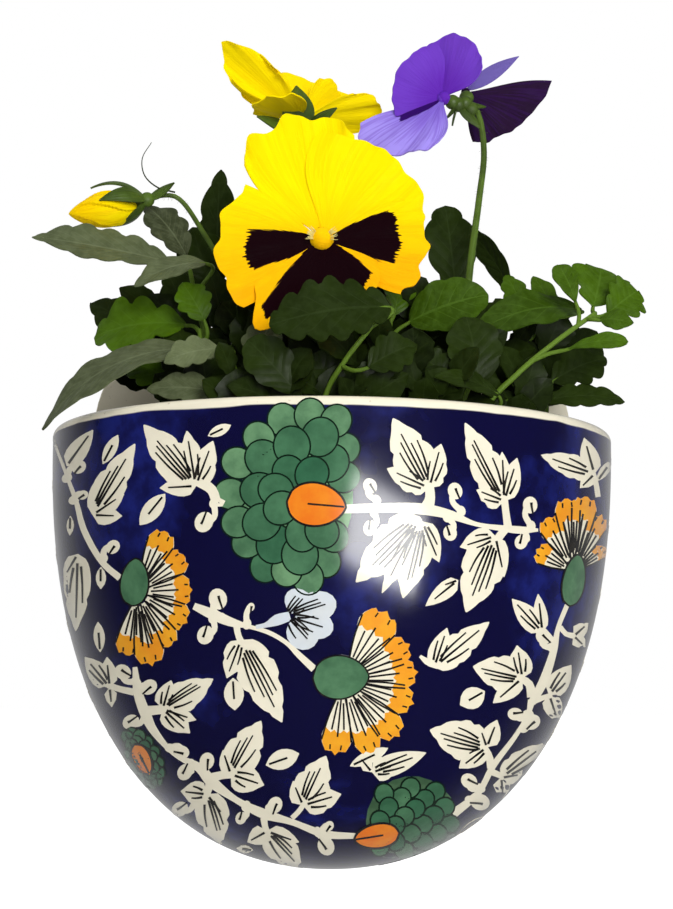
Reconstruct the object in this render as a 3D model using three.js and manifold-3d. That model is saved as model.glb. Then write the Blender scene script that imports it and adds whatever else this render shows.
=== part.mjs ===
// Half-round ceramic wall planter, filled with potting soil and planted with pansies.
// Units are millimetres and +Z is up. The flat back lies in the plane y = 0, centred on x = 0,
// and the bowl swells out of the wall towards -Y.

import * as THREE from 'three';
import { mergeVertices } from 'three/addons/utils/BufferGeometryUtils.js';
import Module from 'manifold-3d';

const wasm = await Module();
wasm.setup();

// Driving dimensions of the planter
const RIM_RADIUS = 100;
const RIM_Z = 76;
const BOTTOM_Z = -76;
const WALL = 6;
const LIP_ROUND = 2.5;
const BACK_WALL = 6;
const BACK_RAISE = 30;
const BACK_HALF_WIDTH = 86;
const BACK_OVERLAP = 12;
const SHOULDER_WIDTH = 18;
const HANGING_HOLE_RADIUS = 5;
const HANGING_HOLE_X = 40;
const HANGING_HOLE_Z = 93;

// The bowl's side follows r = R (1 - ((rim - z) / height) ^ BOWL_FULLNESS) ^ BOWL_ROUNDNESS
const BOWL_FULLNESS = 2.4;
const BOWL_ROUNDNESS = 0.46;
const BOWL_STEPS = 10;
const BOWL_SIDES = 48;
const SOIL_SIDES = 32;

// Driving dimensions of the filling and the plants
const SOIL_EDGE_Z = 62;
const SOIL_MOUND = 3;
const FIT_GAP = 0.3;
const ROOT_DEPTH = 8;
const ROOT_HOLE_CLEARANCE = 0.8;
const LEAF_THICKNESS = 0.9;
const SMALL_LEAF_WIDTH = 11;
const PETAL_THICKNESS = 0.8;
const PETIOLE_RADIUS = 0.75;
const STEM_RADIUS = 1.5;
const STEM_SIDES = 5;
const PETIOLE_SIDES = 4;
const HOLE_SIDES = 6;
const STEM_STEPS = 5;
const FLOWER_STEM_STEPS = 8;
const PETIOLE_STEPS = 3;

// Colours, as seen in daylight
const FINISHES = {
  ceramic: { color: 0x17175a, roughness: 0.18 },
  soil: { color: 0x2c2119, roughness: 0.98 },
  leaf: { color: 0x3f6420, roughness: 0.55 },
  leafDark: { color: 0x2a4418, roughness: 0.6 },
  leafGrey: { color: 0x5b6a48, roughness: 0.65 },
  stem: { color: 0x6d8b3d, roughness: 0.5 },
  yellow: { color: 0xffe100, roughness: 0.6 },
  violet: { color: 0x6b35b8, roughness: 0.6 },
  lavender: { color: 0x8f80df, roughness: 0.6 },
  plum: { color: 0x2e1440, roughness: 0.65 },
};

const planter = new THREE.Group();

// Solids

function signedVolume(vertices, triangles) {
  let volume = 0;
  const [a, b, c] = [new THREE.Vector3(), new THREE.Vector3(), new THREE.Vector3()];
  for (let i = 0; i < triangles.length; i += 3) {
    a.fromArray(vertices, 3 * triangles[i]);
    b.fromArray(vertices, 3 * triangles[i + 1]);
    c.fromArray(vertices, 3 * triangles[i + 2]);
    volume += a.dot(b.cross(c)) / 6;
  }
  return volume;
}

const SEAM_TOLERANCE = 1e-4;

// A closed geometry becomes a solid: its seams are merged, its folded triangles are dropped,
// and its faces are turned outwards.
function toSolid(geometry) {
  geometry.deleteAttribute('normal');
  geometry.deleteAttribute('uv');
  const merged = mergeVertices(geometry, SEAM_TOLERANCE);
  const vertices = new Float32Array(merged.attributes.position.array);
  const kept = [];
  const index = merged.index.array;
  for (let i = 0; i < index.length; i += 3) {
    const [a, b, c] = [index[i], index[i + 1], index[i + 2]];
    if (a !== b && b !== c && c !== a) kept.push(a, b, c);
  }
  if (signedVolume(vertices, kept) < 0) kept.reverse();
  const triVerts = new Uint32Array(kept);
  return new wasm.Manifold(new wasm.Mesh({ numProp: 3, vertProperties: vertices, triVerts }));
}

function unite(solids) {
  return solids.reduce((whole, solid) => whole.add(solid));
}

function addPart(name, solid, finish) {
  const mesh = solid.getMesh();
  const geometry = new THREE.BufferGeometry();
  const stride = mesh.numProp;
  const count = mesh.vertProperties.length / stride;
  const positions = new Float32Array(3 * count);
  for (let i = 0; i < count; i += 1) {
    positions.set(mesh.vertProperties.subarray(stride * i, stride * i + 3), 3 * i);
  }
  geometry.setAttribute('position', new THREE.BufferAttribute(positions, 3));
  geometry.setIndex(Array.from(mesh.triVerts));
  geometry.computeVertexNormals();
  const part = new THREE.Mesh(geometry, new THREE.MeshStandardMaterial(FINISHES[finish]));
  part.name = name;
  planter.add(part);
}

// A body of revolution about the Z axis, from [radius, z] points that start and end on the axis
function turned(points, sides) {
  const outline = points.map(([radius, z]) => new THREE.Vector2(radius, z));
  return toSolid(new THREE.LatheGeometry(outline, sides).rotateX(Math.PI / 2));
}

function block(low, high) {
  const size = high.map((value, i) => value - low[i]);
  const centre = high.map((value, i) => (value + low[i]) / 2);
  return toSolid(new THREE.BoxGeometry(...size).translate(...centre));
}

// A rod of constant thickness along a smooth curve through the given points
function rod(points, radius, sides, steps) {
  const path = new THREE.CatmullRomCurve3(points.map((point) => new THREE.Vector3(...point)));
  const corners = [];
  for (let i = 0; i < sides; i += 1) {
    const angle = (2 * Math.PI * i) / sides;
    corners.push(new THREE.Vector2(radius * Math.cos(angle), radius * Math.sin(angle)));
  }
  const options = { extrudePath: path, steps, bevelEnabled: false };
  return toSolid(new THREE.ExtrudeGeometry(new THREE.Shape(corners), options));
}

// A closed plate round the surface point(t, s), with t from 0 to 1 and s from -1 to 1.
// Both faces are the same grid, moved apart along lift, and cut into the same triangles.
function plate(rows, columns, point, lift) {
  const positions = [];
  const index = [];
  const width = columns + 1;
  const back = (rows + 1) * width;
  for (const side of [0.5, -0.5]) {
    for (let i = 0; i <= rows; i += 1) {
      for (let j = 0; j <= columns; j += 1) {
        const place = point(i / rows, (2 * j) / columns - 1).addScaledVector(lift, side);
        positions.push(place.x, place.y, place.z);
      }
    }
  }
  for (let i = 0; i < rows; i += 1) {
    for (let j = 0; j < columns; j += 1) {
      const [a, b] = [i * width + j, i * width + j + 1];
      const [c, d] = [a + width, b + width];
      const front = 2 * j < columns ? [a, b, c, b, d, c] : [a, b, d, a, d, c];
      index.push(...front);
      index.push(...front.map((corner) => corner + back).reverse());
    }
  }
  const edge = [];
  for (let j = 0; j < columns; j += 1) edge.push(j);
  for (let i = 0; i < rows; i += 1) edge.push(i * width + columns);
  for (let j = columns; j > 0; j -= 1) edge.push(rows * width + j);
  for (let i = rows; i > 0; i -= 1) edge.push(i * width);
  edge.forEach((a, k) => {
    const b = edge[(k + 1) % edge.length];
    index.push(b, a, a + back, b, a + back, b + back);
  });
  const geometry = new THREE.BufferGeometry();
  geometry.setAttribute('position', new THREE.Float32BufferAttribute(positions, 3));
  geometry.setIndex(index);
  return toSolid(geometry);
}

// The three directions of a blade: along it, across it, and out of its upper face
function bladeFrame(base, tip, face) {
  const along = new THREE.Vector3(...tip).sub(new THREE.Vector3(...base));
  const length = along.length();
  along.normalize();
  const out = new THREE.Vector3(...face);
  out.addScaledVector(along, -out.dot(along)).normalize();
  const across = new THREE.Vector3().crossVectors(along, out);
  return { base: new THREE.Vector3(...base), along, across, out, length };
}

// Leaves

const LEAF_DEFAULTS = {
  face: [0, -0.8, 0.6],
  arch: 0.1,
  fold: 0.18,
  teeth: 3,
  toothDepth: 0.12,
  belly: 0.5,
  bluntness: 0.7,
};

// The middle line of a leaf bows out by arch times its length, halfway along
function midrib(frame, leaf, t) {
  return frame.base.clone()
    .addScaledVector(frame.along, frame.length * t)
    .addScaledVector(frame.out, 4 * leaf.arch * frame.length * t * (1 - t));
}

const LEAF_END_SHARE = 0.09;

// An egg-shaped blade, widest at belly, whose edge is cut into rounded teeth. Its two ends keep
// a small share of the width.
function leafBlade(leaf, frame) {
  const skew = Math.log(0.5) / Math.log(leaf.belly);
  const rows = 2 * leaf.teeth + 1;
  const halfWidth = (t) => {
    const egg = Math.sin(Math.PI * Math.min(1, t) ** skew) ** leaf.bluntness;
    const notch = Math.round(t * rows) % 2 === 0 ? -leaf.toothDepth : leaf.toothDepth;
    return 0.5 * leaf.width * Math.max(LEAF_END_SHARE, egg * (1 + notch));
  };
  const point = (t, s) => midrib(frame, leaf, t)
    .addScaledVector(frame.across, s * halfWidth(t))
    .addScaledVector(frame.out, leaf.fold * Math.abs(s) * halfWidth(t));
  const columns = leaf.width > SMALL_LEAF_WIDTH ? 2 : 1;
  return plate(rows, columns, point, frame.out.clone().multiplyScalar(LEAF_THICKNESS));
}

const STALK_UNDER_BLADE = 0.3;
const STALK_ALONG_BLADE = 0.07;
const SHORT_STALK = 4;
const STALK_APPROACH = 0.35;
const STALK_BEND = 0.75;

// The leaf stalk leaves the stem at the given share of its length and runs under the blade.
// A short one goes straight there, and a longer one bends to come in along the blade.
function leafStalk(leaf, frame, stemCurve) {
  const start = stemCurve.getPointAt(leaf.at);
  const under = frame.out.clone().multiplyScalar(-STALK_UNDER_BLADE);
  const seat = midrib(frame, leaf, 0).add(under);
  const end = midrib(frame, leaf, STALK_ALONG_BLADE);
  const reach = start.distanceTo(frame.base);
  const approach = seat.clone().addScaledVector(frame.along, -STALK_APPROACH * reach);
  const middle = start.clone().lerp(approach, STALK_BEND);
  const points = reach < SHORT_STALK ? [start, seat, end] : [start, middle, seat, end];
  const route = points.map((point) => point.toArray());
  return rod(route, PETIOLE_RADIUS, PETIOLE_SIDES, PETIOLE_STEPS);
}

const UPRIGHT_HEIGHTS = [0, 7, 13];

// Every stem stands upright in its hole before it bends away
function stemPoints(root, path) {
  const foot = SOIL_EDGE_Z - ROOT_DEPTH;
  return [...UPRIGHT_HEIGHTS.map((height) => [...root, foot + height]), ...path];
}

function stemCurve(points) {
  return new THREE.CatmullRomCurve3(points.map((point) => new THREE.Vector3(...point)));
}

function leafyStem({ root, path, leaves }) {
  const points = stemPoints(root, path);
  const curve = stemCurve(points);
  const pieces = [rod(points, STEM_RADIUS, STEM_SIDES, STEM_STEPS)];
  for (const entry of leaves) {
    const leaf = { ...LEAF_DEFAULTS, ...entry };
    const frame = bladeFrame(leaf.base, leaf.tip, leaf.face);
    pieces.push(leafStalk(leaf, frame, curve));
    pieces.push(leafBlade(leaf, frame));
  }
  return unite(pieces);
}

// Places of the leafy stems: root is where one enters the soil, path is its way up,
// and each leaf has its stalk's start on the stem, its base, its tip and its width.
const LEAFY_STEMS = {
  leafy_stem_left_top: {
    finish: 'leafGrey',
    root: [-40, -38],
    path: [[-41, -39, 92], [-46, -42, 114], [-50, -43, 131]],
    leaves: [
      { at: 0.97, base: [-55, -48, 130], tip: [-101, -56, 136], width: 19, arch: 0.07, fold: 0.25,
        teeth: 5, face: [0.1, -0.75, 0.65] },
      { at: 0.86, base: [-43, -53, 128], tip: [-66, -60, 118], width: 12, toothDepth: 0.06,
        face: [-0.2, -0.75, 0.6] },
      { at: 0.99, base: [-51, -38, 134], tip: [-66, -33, 153], width: 13, face: [0.3, -0.85, 0.3] },
    ],
  },
  leafy_stem_left_upright: {
    finish: 'leafDark',
    root: [-33, -22],
    path: [[-34, -22, 90], [-38, -22, 110], [-40, -22, 124]],
    leaves: [
      { at: 0.99, base: [-41, -22, 128], tip: [-41, -18, 171], width: 14, arch: 0.04,
        face: [-0.3, -0.9, 0.1], belly: 0.42 },
      { at: 0.7, base: [-44, -27, 106], tip: [-59, -25, 132], width: 15, face: [-0.4, -0.7, 0.4] },
      { at: 0.8, base: [-38, -30, 108], tip: [-43, -33, 131], width: 11, face: [0, -0.9, 0.4] },
      { at: 0.5, base: [-28, -28, 94], tip: [-18, -34, 112], width: 14, face: [0.2, -0.8, 0.5] },
    ],
  },
  leafy_stem_left_bright: {
    finish: 'leaf',
    root: [-46, -50],
    path: [[-45, -50, 84], [-44, -50, 97], [-45, -50, 106]],
    leaves: [
      { at: 0.98, base: [-50, -47, 108], tip: [-81, -44, 104], width: 21, toothDepth: 0.2,
        bluntness: 0.5, face: [-0.1, -0.85, 0.5], belly: 0.6 },
      { at: 0.88, base: [-43, -54, 108], tip: [-51, -53, 121], width: 11, face: [0, -0.9, 0.4] },
      { at: 0.5, base: [-54, -46, 88], tip: [-70, -42, 96], width: 14, face: [-0.3, -0.7, 0.6] },
    ],
  },
  leafy_stem_left_drooping: {
    finish: 'leafGrey',
    root: [-27, -60],
    path: [[-29, -61, 80], [-32, -62, 90], [-35, -61, 97]],
    leaves: [
      { at: 0.99, base: [-39, -61, 97], tip: [-95, -60, 70], width: 20, arch: 0.16, fold: 0.1,
        teeth: 5, toothDepth: 0.08, face: [-0.2, -0.62, 0.78], belly: 0.55 },
      { at: 0.5, base: [-33, -70, 80], tip: [-60, -69, 82], width: 10, face: [0, -0.9, 0.45] },
      { at: 0.9, base: [-36, -72, 95], tip: [-54, -75, 90], width: 10, face: [-0.1, -0.9, 0.4] },
      { at: 0.8, base: [-25, -67, 90], tip: [-20, -68, 106], width: 13, toothDepth: 0.06,
        face: [-0.1, -0.9, 0.3] },
    ],
  },
  leafy_stem_centre_dark: {
    finish: 'leafDark',
    root: [-4, -76],
    path: [[-2, -78, 80], [4, -83, 90], [12, -86, 100]],
    leaves: [
      { at: 0.99, base: [18, -87, 108], tip: [-20, -91, 101], width: 19, toothDepth: 0.16,
        bluntness: 0.5, teeth: 5, face: [0, -0.95, 0.3], arch: 0.09 },
      { at: 0.4, base: [-11, -82, 79], tip: [-27, -83, 96], width: 14, teeth: 3, toothDepth: 0.06,
        bluntness: 0.5, face: [-0.1, -0.95, 0.2], belly: 0.6 },
      { at: 0.7, base: [11, -86, 87], tip: [26, -84, 95], width: 12, teeth: 3,
        face: [0.1, -0.95, 0.3] },
    ],
  },
  leafy_stem_centre_round: {
    finish: 'leafDark',
    root: [8, -60],
    path: [[8, -62, 80], [7, -64, 86], [6, -65, 92]],
    leaves: [
      { at: 0.7, base: [4, -72, 79], tip: [-7, -75, 93], width: 14, teeth: 3, toothDepth: 0.06,
        bluntness: 0.5, face: [0, -0.95, 0.2], belly: 0.6 },
      { at: 0.99, base: [2, -62, 94], tip: [-16, -59, 104], width: 14, face: [0, -0.9, 0.4] },
      { at: 0.9, base: [11, -66, 91], tip: [32, -64, 97], width: 12, face: [0.1, -0.9, 0.4] },
    ],
  },
  leafy_stem_centre_sprig: {
    finish: 'leaf',
    root: [19, -54],
    path: [[19, -55, 84], [18, -56, 98], [19, -56, 108]],
    leaves: [
      { at: 0.8, base: [25, -60, 107], tip: [51, -62, 116], width: 18, toothDepth: 0.04,
        bluntness: 0.55, face: [0.1, -0.95, 0.3] },
      { at: 0.99, base: [20, -56, 110], tip: [23, -50, 128], width: 10, face: [0.2, -0.9, 0.2] },
      { at: 0.9, base: [14, -54, 102], tip: [8, -48, 120], width: 10, face: [-0.3, -0.9, 0.3] },
      { at: 0.6, base: [27, -50, 96], tip: [36, -47, 112], width: 12, face: [0.2, -0.9, 0.3] },
    ],
  },
  leafy_stem_right_upright: {
    finish: 'leafDark',
    root: [36, -34],
    path: [[37, -34, 90], [41, -33, 108], [43, -31, 118]],
    leaves: [
      { at: 0.99, base: [43, -31, 120], tip: [39, -27, 156], width: 16, arch: 0.03,
        bluntness: 0.5, face: [0.1, -0.95, 0.1], belly: 0.62, toothDepth: 0.1 },
      { at: 0.9, base: [63, -27, 122], tip: [47, -21, 150], width: 9, arch: -0.12, toothDepth: 0.05,
        face: [-0.8, -0.6, 0.1], belly: 0.6 },
      { at: 0.7, base: [40, -41, 107], tip: [29, -43, 120], width: 13, face: [0, -0.9, 0.4] },
      { at: 0.6, base: [49, -29, 104], tip: [57, -28, 121], width: 13, face: [0.1, -0.9, 0.3] },
    ],
  },
  leafy_stem_right_arched: {
    finish: 'leaf',
    root: [60, -38],
    path: [[61, -39, 86], [66, -41, 104], [76, -45, 112]],
    leaves: [
      { at: 0.99, base: [84, -48, 114], tip: [48, -55, 105], width: 18, arch: 0.13,
        toothDepth: 0.04, bluntness: 0.6, face: [0.1, -0.75, 0.65], belly: 0.55 },
      { at: 0.75, base: [66, -37, 113], tip: [60, -31, 130], width: 9, teeth: 3,
        face: [0.1, -0.9, 0.3] },
      { at: 0.85, base: [76, -39, 114], tip: [69, -34, 129], width: 8, teeth: 2, toothDepth: 0.04,
        face: [0.1, -0.9, 0.3] },
      { at: 0.5, base: [57, -43, 90], tip: [47, -46, 105], width: 13, face: [0, -0.9, 0.4] },
    ],
  },
  leafy_stem_right_fan: {
    finish: 'leaf',
    root: [48, -64],
    path: [[50, -65, 78], [60, -66, 89], [74, -65, 101], [86, -63, 110]],
    leaves: [
      { at: 0.99, base: [86, -59, 113], tip: [90, -51, 128], width: 17, toothDepth: 0.16, teeth: 3,
        bluntness: 0.5, face: [0.1, -0.9, 0.3], belly: 0.6 },
      { at: 0.97, base: [90, -63, 110], tip: [101, -57, 119], width: 13, toothDepth: 0.16, teeth: 3,
        bluntness: 0.5, face: [0.3, -0.9, 0.3], belly: 0.6 },
      { at: 0.95, base: [87, -67, 107], tip: [97, -70, 105], width: 8, teeth: 2, toothDepth: 0.04,
        face: [0, -0.9, 0.4] },
      { at: 0.9, base: [80, -61, 114], tip: [75, -55, 128], width: 8, teeth: 2, toothDepth: 0.04,
        bluntness: 0.5, face: [0, -0.95, 0.2], belly: 0.65 },
      { at: 0.62, base: [76, -68, 97], tip: [95, -72, 99], width: 6, teeth: 2, toothDepth: 0.04,
        bluntness: 0.5, face: [0, -0.9, 0.4], belly: 0.7 },
    ],
  },
  leafy_stem_right_low: {
    finish: 'leafDark',
    root: [63, -50],
    path: [[64, -51, 77], [67, -52, 83], [71, -52, 88]],
    leaves: [
      { at: 0.99, base: [73, -52, 89], tip: [92, -47, 98], width: 13, toothDepth: 0.16,
        face: [0.1, -0.9, 0.4] },
      { at: 0.5, base: [68, -57, 81], tip: [97, -54, 82], width: 9, teeth: 4, face: [0.1, -0.8, 0.6] },
      { at: 0.75, base: [71, -38, 90], tip: [92, -31, 110], width: 19, toothDepth: 0.08,
        face: [0.1, -0.9, 0.35] },
    ],
  },
  leafy_stem_right_front: {
    finish: 'leafDark',
    root: [38, -72],
    path: [[40, -73, 74], [42, -73, 79], [44, -72, 84]],
    leaves: [
      { at: 0.99, base: [47, -71, 85], tip: [43, -69, 107], width: 17, teeth: 3, toothDepth: 0.06,
        bluntness: 0.5, face: [0.1, -0.95, 0.2] },
      { at: 0.6, base: [53, -77, 80], tip: [32, -82, 85], width: 8, teeth: 3, toothDepth: 0.06,
        face: [0, -0.8, 0.6] },
      { at: 0.8, base: [38, -72, 85], tip: [27, -73, 94], width: 11, teeth: 3,
        face: [-0.1, -0.9, 0.3] },
    ],
  },
  leafy_stem_rear_left: {
    finish: 'leafDark',
    root: [-58, -24],
    path: [[-59, -24, 82], [-62, -23, 94], [-65, -22, 104]],
    leaves: [
      { at: 0.98, base: [-67, -22, 107], tip: [-86, -20, 121], teeth: 2, width: 15, face: [-0.3, -0.6, 0.7] },
      { at: 0.75, base: [-66, -28, 93], tip: [-84, -34, 92], teeth: 2, width: 13, face: [-0.3, -0.5, 0.8] },
      { at: 0.85, base: [-57, -19, 106], tip: [-50, -12, 126], teeth: 2, width: 14, face: [0.1, 0.3, 0.9] },
      { at: 0.5, base: [-49, -25, 84], tip: [-34, -27, 102], teeth: 2, width: 15, face: [0, -0.98, 0.1] },
    ],
  },
  leafy_stem_rear_centre: {
    finish: 'leafDark',
    root: [-5, -22],
    path: [[-5, -22, 84], [-4, -21, 98], [-3, -20, 110]],
    leaves: [
      { at: 0.98, base: [-3, -19, 113], tip: [-3, -11, 137], teeth: 2, width: 17, face: [0.1, 0.5, 0.8] },
      { at: 0.8, base: [-10, -20, 104], tip: [-27, -14, 122], teeth: 2, width: 15, face: [-0.2, -0.6, 0.7] },
      { at: 0.65, base: [1, -28, 98], tip: [9, -40, 109], teeth: 2, width: 15, face: [0, -0.6, 0.8] },
      { at: 0.85, base: [4, -20, 108], tip: [22, -16, 123], teeth: 2, width: 16, face: [0.2, -0.6, 0.7] },
    ],
  },
  leafy_stem_rear_right: {
    finish: 'leafDark',
    root: [56, -20],
    path: [[57, -20, 84], [61, -20, 96], [65, -19, 105]],
    leaves: [
      { at: 0.98, base: [68, -18, 107], tip: [84, -16, 122], teeth: 2, width: 15, face: [0.2, -0.6, 0.7] },
      { at: 0.5, base: [51, -16, 83], tip: [35, -15, 102], teeth: 2, width: 15, face: [0, -0.98, 0.1] },
      { at: 0.7, base: [67, -24, 92], tip: [86, -28, 98], teeth: 2, width: 13, face: [0.2, -0.6, 0.75] },
      { at: 0.85, base: [66, -25, 106], tip: [74, -30, 119], teeth: 2, width: 13, face: [0.1, -0.8, 0.5] },
    ],
  },
};

// Petals

const PETAL_DEFAULTS = {
  face: [0, -1, 0.1],
  spread: 45,
  cup: 0.05,
  roundness: 0.16,
  waves: 3,
  waveDepth: 0.035,
  ruffle: 0.02,
  phase: 0,
  lean: 0,
  throat: 0.1,
};

const PETAL_ROWS = 3;
const PETAL_COLUMNS = 6;

// A fan that opens by spread degrees to each side, with a rounded, wavy outer edge
function petalBlade(entry) {
  const petal = { ...PETAL_DEFAULTS, ...entry };
  const frame = bladeFrame(petal.root, petal.tip, petal.face);
  const reach = (s) => 1 - petal.roundness * s ** 2 + petal.lean * s
    + petal.waveDepth * Math.cos(petal.waves * Math.PI * s + petal.phase);
  const point = (t, s) => {
    const share = petal.throat + (1 - petal.throat) * t;
    const angle = THREE.MathUtils.degToRad(petal.spread) * s;
    const radius = frame.length * share * reach(s);
    const wave = petal.ruffle * Math.sin(petal.waves * Math.PI * s + petal.phase);
    return frame.base.clone()
      .addScaledVector(frame.along, radius * Math.cos(angle))
      .addScaledVector(frame.across, radius * Math.sin(angle))
      .addScaledVector(frame.out, frame.length * share ** 2 * (petal.cup + wave));
  };
  return plate(PETAL_ROWS, PETAL_COLUMNS, point, frame.out.clone().multiplyScalar(PETAL_THICKNESS));
}

function knob(centre, radius, detail) {
  return toSolid(new THREE.OctahedronGeometry(radius, detail).translate(...centre));
}

function corolla(petals, throat, radius) {
  return unite([knob(throat, radius, 2), ...petals.map(petalBlade)]);
}

const FRONT_THROAT = [-4, -70, 132];
const FRONT_THROAT_RADIUS = 4.4;
const FRONT_PETALS = [
  { root: [-4, -69.6, 132], tip: [-15, -66, 173.3], spread: 31, face: [0, -1, 0.05], roundness: 0.12 },
  { root: [-4, -69.8, 132], tip: [17, -68, 161.5], spread: 41, face: [0, -1, 0.05], phase: 1,
    roundness: 0.03, waveDepth: 0.02 },
  { root: [-4, -70.4, 132], tip: [-37.5, -71, 124], spread: 40, phase: 2, roundness: 0.08,
    waveDepth: 0.02 },
  { root: [-4, -70.4, 132], tip: [30, -71, 128.5], spread: 31, phase: 0.5, roundness: 0.05,
    waveDepth: 0.02 },
  { root: [-4, -70.8, 132], tip: [-5, -73.5, 102.5], spread: 56, phase: 1.5, cup: 0.02,
    roundness: 0.06, lean: 0.4, waveDepth: 0.02 },
];

const BACK_THROAT = [-12, -40, 183];
const BACK_THROAT_RADIUS = 3;
const BACK_PETALS = [
  { root: BACK_THROAT, tip: [-38, -36, 210.5], spread: 20, face: [0.3, 0.85, 0.35], cup: -0.03,
    roundness: 0.5, lean: 0.12, waveDepth: 0 },
  { root: BACK_THROAT, tip: [-13, -20, 206.5], spread: 56, face: [0.26, -0.62, 0.62], phase: 2,
    roundness: -0.1, waveDepth: 0.02 },
  { root: BACK_THROAT, tip: [16.5, -34, 187.5], spread: 21, face: [-0.1, 0.75, 0.6], phase: 1,
    roundness: 0.3, waveDepth: 0.01 },
  { root: BACK_THROAT, tip: [3.5, -24, 196], spread: 30, face: [0, 0.9, 0.4], phase: 0.5,
    roundness: 0.2, waveDepth: 0.02 },
  { root: BACK_THROAT, tip: [-24, -56, 183.5], spread: 40, face: [0, 0.1, 1], phase: 1.5 },
];

const VIOLET_THROAT = [37.6, -39.8, 190.9];
const VIOLET_THROAT_RADIUS = 3;
const VIOLET_PETALS = [
  { root: VIOLET_THROAT, tip: [20.5, -46, 198], spread: 40, face: [-0.4, -0.9, 0.1], cup: 0.06,
    roundness: 0.1, waves: 2, waveDepth: 0.015 },
  { root: VIOLET_THROAT, tip: [45, -43, 211.5], spread: 40, face: [-0.3, -0.9, 0.15], cup: 0.06,
    phase: 1, roundness: 0.3, lean: -0.12, waves: 2, waveDepth: 0.015 },
];
const LIP_PETAL = {
  root: VIOLET_THROAT, tip: [18.5, -52, 165.5], spread: 32, throat: 0.13, face: [-0.25, -0.95, 0.3],
  cup: 0.06, roundness: 0.2, lean: 0.15, waveDepth: 0.02,
};
const PLUM_THROAT = [48, -33, 192.6];
const PLUM_THROAT_RADIUS = 1.8;
const PLUM_PETALS = [
  { root: PLUM_THROAT, tip: [63, -25, 184.5], spread: 49, face: [0.2, -0.9, -0.35], phase: 1,
    roundness: -0.22, lean: -0.37, waveDepth: 0.02 },
  { root: PLUM_THROAT, tip: [64.5, -28, 210], spread: 9, throat: 0.04, face: [-0.1, -1, 0.1],
    ruffle: 0 },
];

// Flower stalks, each with its green cup of five sepals

const SEPAL_THICKNESS = 0.8;
const SEPAL_SLIMNESS = 0.18;
const SEPAL_END_SHARE = 0.12;
const SEPAL_ROWS = 3;
const SEPAL_COLUMNS = 2;
const CALYX_RADIUS = 2.6;

function sepal(base, tip, face, arch = 0.05) {
  const frame = bladeFrame(base, tip, face);
  const shape = (t) => Math.max(SEPAL_END_SHARE, Math.sin(Math.PI * t ** 0.8));
  const halfWidth = (t) => SEPAL_SLIMNESS * frame.length * shape(t);
  const point = (t, s) => midrib(frame, { arch }, t).addScaledVector(frame.across, s * halfWidth(t));
  return plate(SEPAL_ROWS, SEPAL_COLUMNS, point, frame.out.clone().multiplyScalar(SEPAL_THICKNESS));
}

function flowerStalk({ root, path, radius, calyx, sepals }) {
  const pieces = [rod(stemPoints(root, path), radius, STEM_SIDES, FLOWER_STEM_STEPS)];
  for (const centre of calyx) pieces.push(knob(centre, CALYX_RADIUS, 1));
  for (const [tip, face, arch] of sepals) pieces.push(sepal(calyx[0], tip, face, arch));
  return unite(pieces);
}

const FLOWER_STALKS = {
  bloom_front_stem: {
    root: [-6, -44],
    radius: 1.4,
    path: [[-6, -45, 90], [-5, -50, 118], [-4, -56, 131], [-4, -62, 132]],
    calyx: [[-4, -62.6, 132]],
    sepals: [
      [[-4, -62, 143], [0, 1, 0.2]], [[6, -62, 136], [0, 1, 0]], [[-14, -62, 136], [0, 1, 0]],
      [[2, -62, 122], [0, 1, -0.2]], [[-10, -62, 122], [0, 1, -0.2]],
    ],
  },
  bloom_back_stem: {
    root: [-16, -33],
    radius: 1.4,
    path: [[-16, -33, 100], [-15, -34, 140], [-13, -38, 165], [-12, -42, 176]],
    calyx: [[-12, -40.5, 177]],
    sepals: [
      [[-14, -50, 181], [0, -0.6, -0.7]], [[-3, -47, 182], [0.3, -0.4, -0.8]],
      [[-21, -47, 181], [-0.3, -0.4, -0.8]], [[-6, -31, 181], [0, 0.2, -1]],
      [[-19, -32, 181], [0, 0.2, -1]],
    ],
  },
  bloom_violet_stem: {
    root: [44, -50],
    radius: 1.4,
    path: [[44, -48, 90], [46, -44, 125], [50, -39, 155], [52, -36, 172], [50.5, -36, 184]],
    calyx: [[42.8, -37.3, 189.5], [47.5, -36, 188.4]],
    sepals: [
      [[38.5, -38.5, 184], [0, -0.3, -1]], [[53, -33.5, 190], [0.3, -0.7, 0.6]],
      [[50.5, -37, 181], [0.3, -0.7, 0.1]], [[41, -35, 182.5], [-0.3, 0.3, -0.9]],
    ],
  },
};

// The unopened flower: a bud of rolled petals, held by its sepals on a hooked stalk

const BUD_AXIS_START = [-67.8, -41.9, 152.2];
const BUD_AXIS_END = [-91, -44, 147];
const BUD_RADIUS = 5.6;
const BUD_STEPS = 7;
const BUD_SIDES = 10;

function rolledBud() {
  const start = new THREE.Vector3(...BUD_AXIS_START);
  const end = new THREE.Vector3(...BUD_AXIS_END);
  const length = start.distanceTo(end);
  const outline = [];
  for (let i = 0; i <= BUD_STEPS; i += 1) {
    const share = i / BUD_STEPS;
    const radius = BUD_RADIUS * Math.sin(Math.PI * share ** 0.8) ** 0.75;
    outline.push(new THREE.Vector2(i === 0 || i === BUD_STEPS ? 0 : radius, share * length));
  }
  const body = new THREE.LatheGeometry(outline, BUD_SIDES);
  const turn = new THREE.Quaternion().setFromUnitVectors(
    new THREE.Vector3(0, 1, 0), end.clone().sub(start).normalize());
  body.applyQuaternion(turn);
  body.translate(...BUD_AXIS_START);
  return toSolid(body);
}

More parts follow.
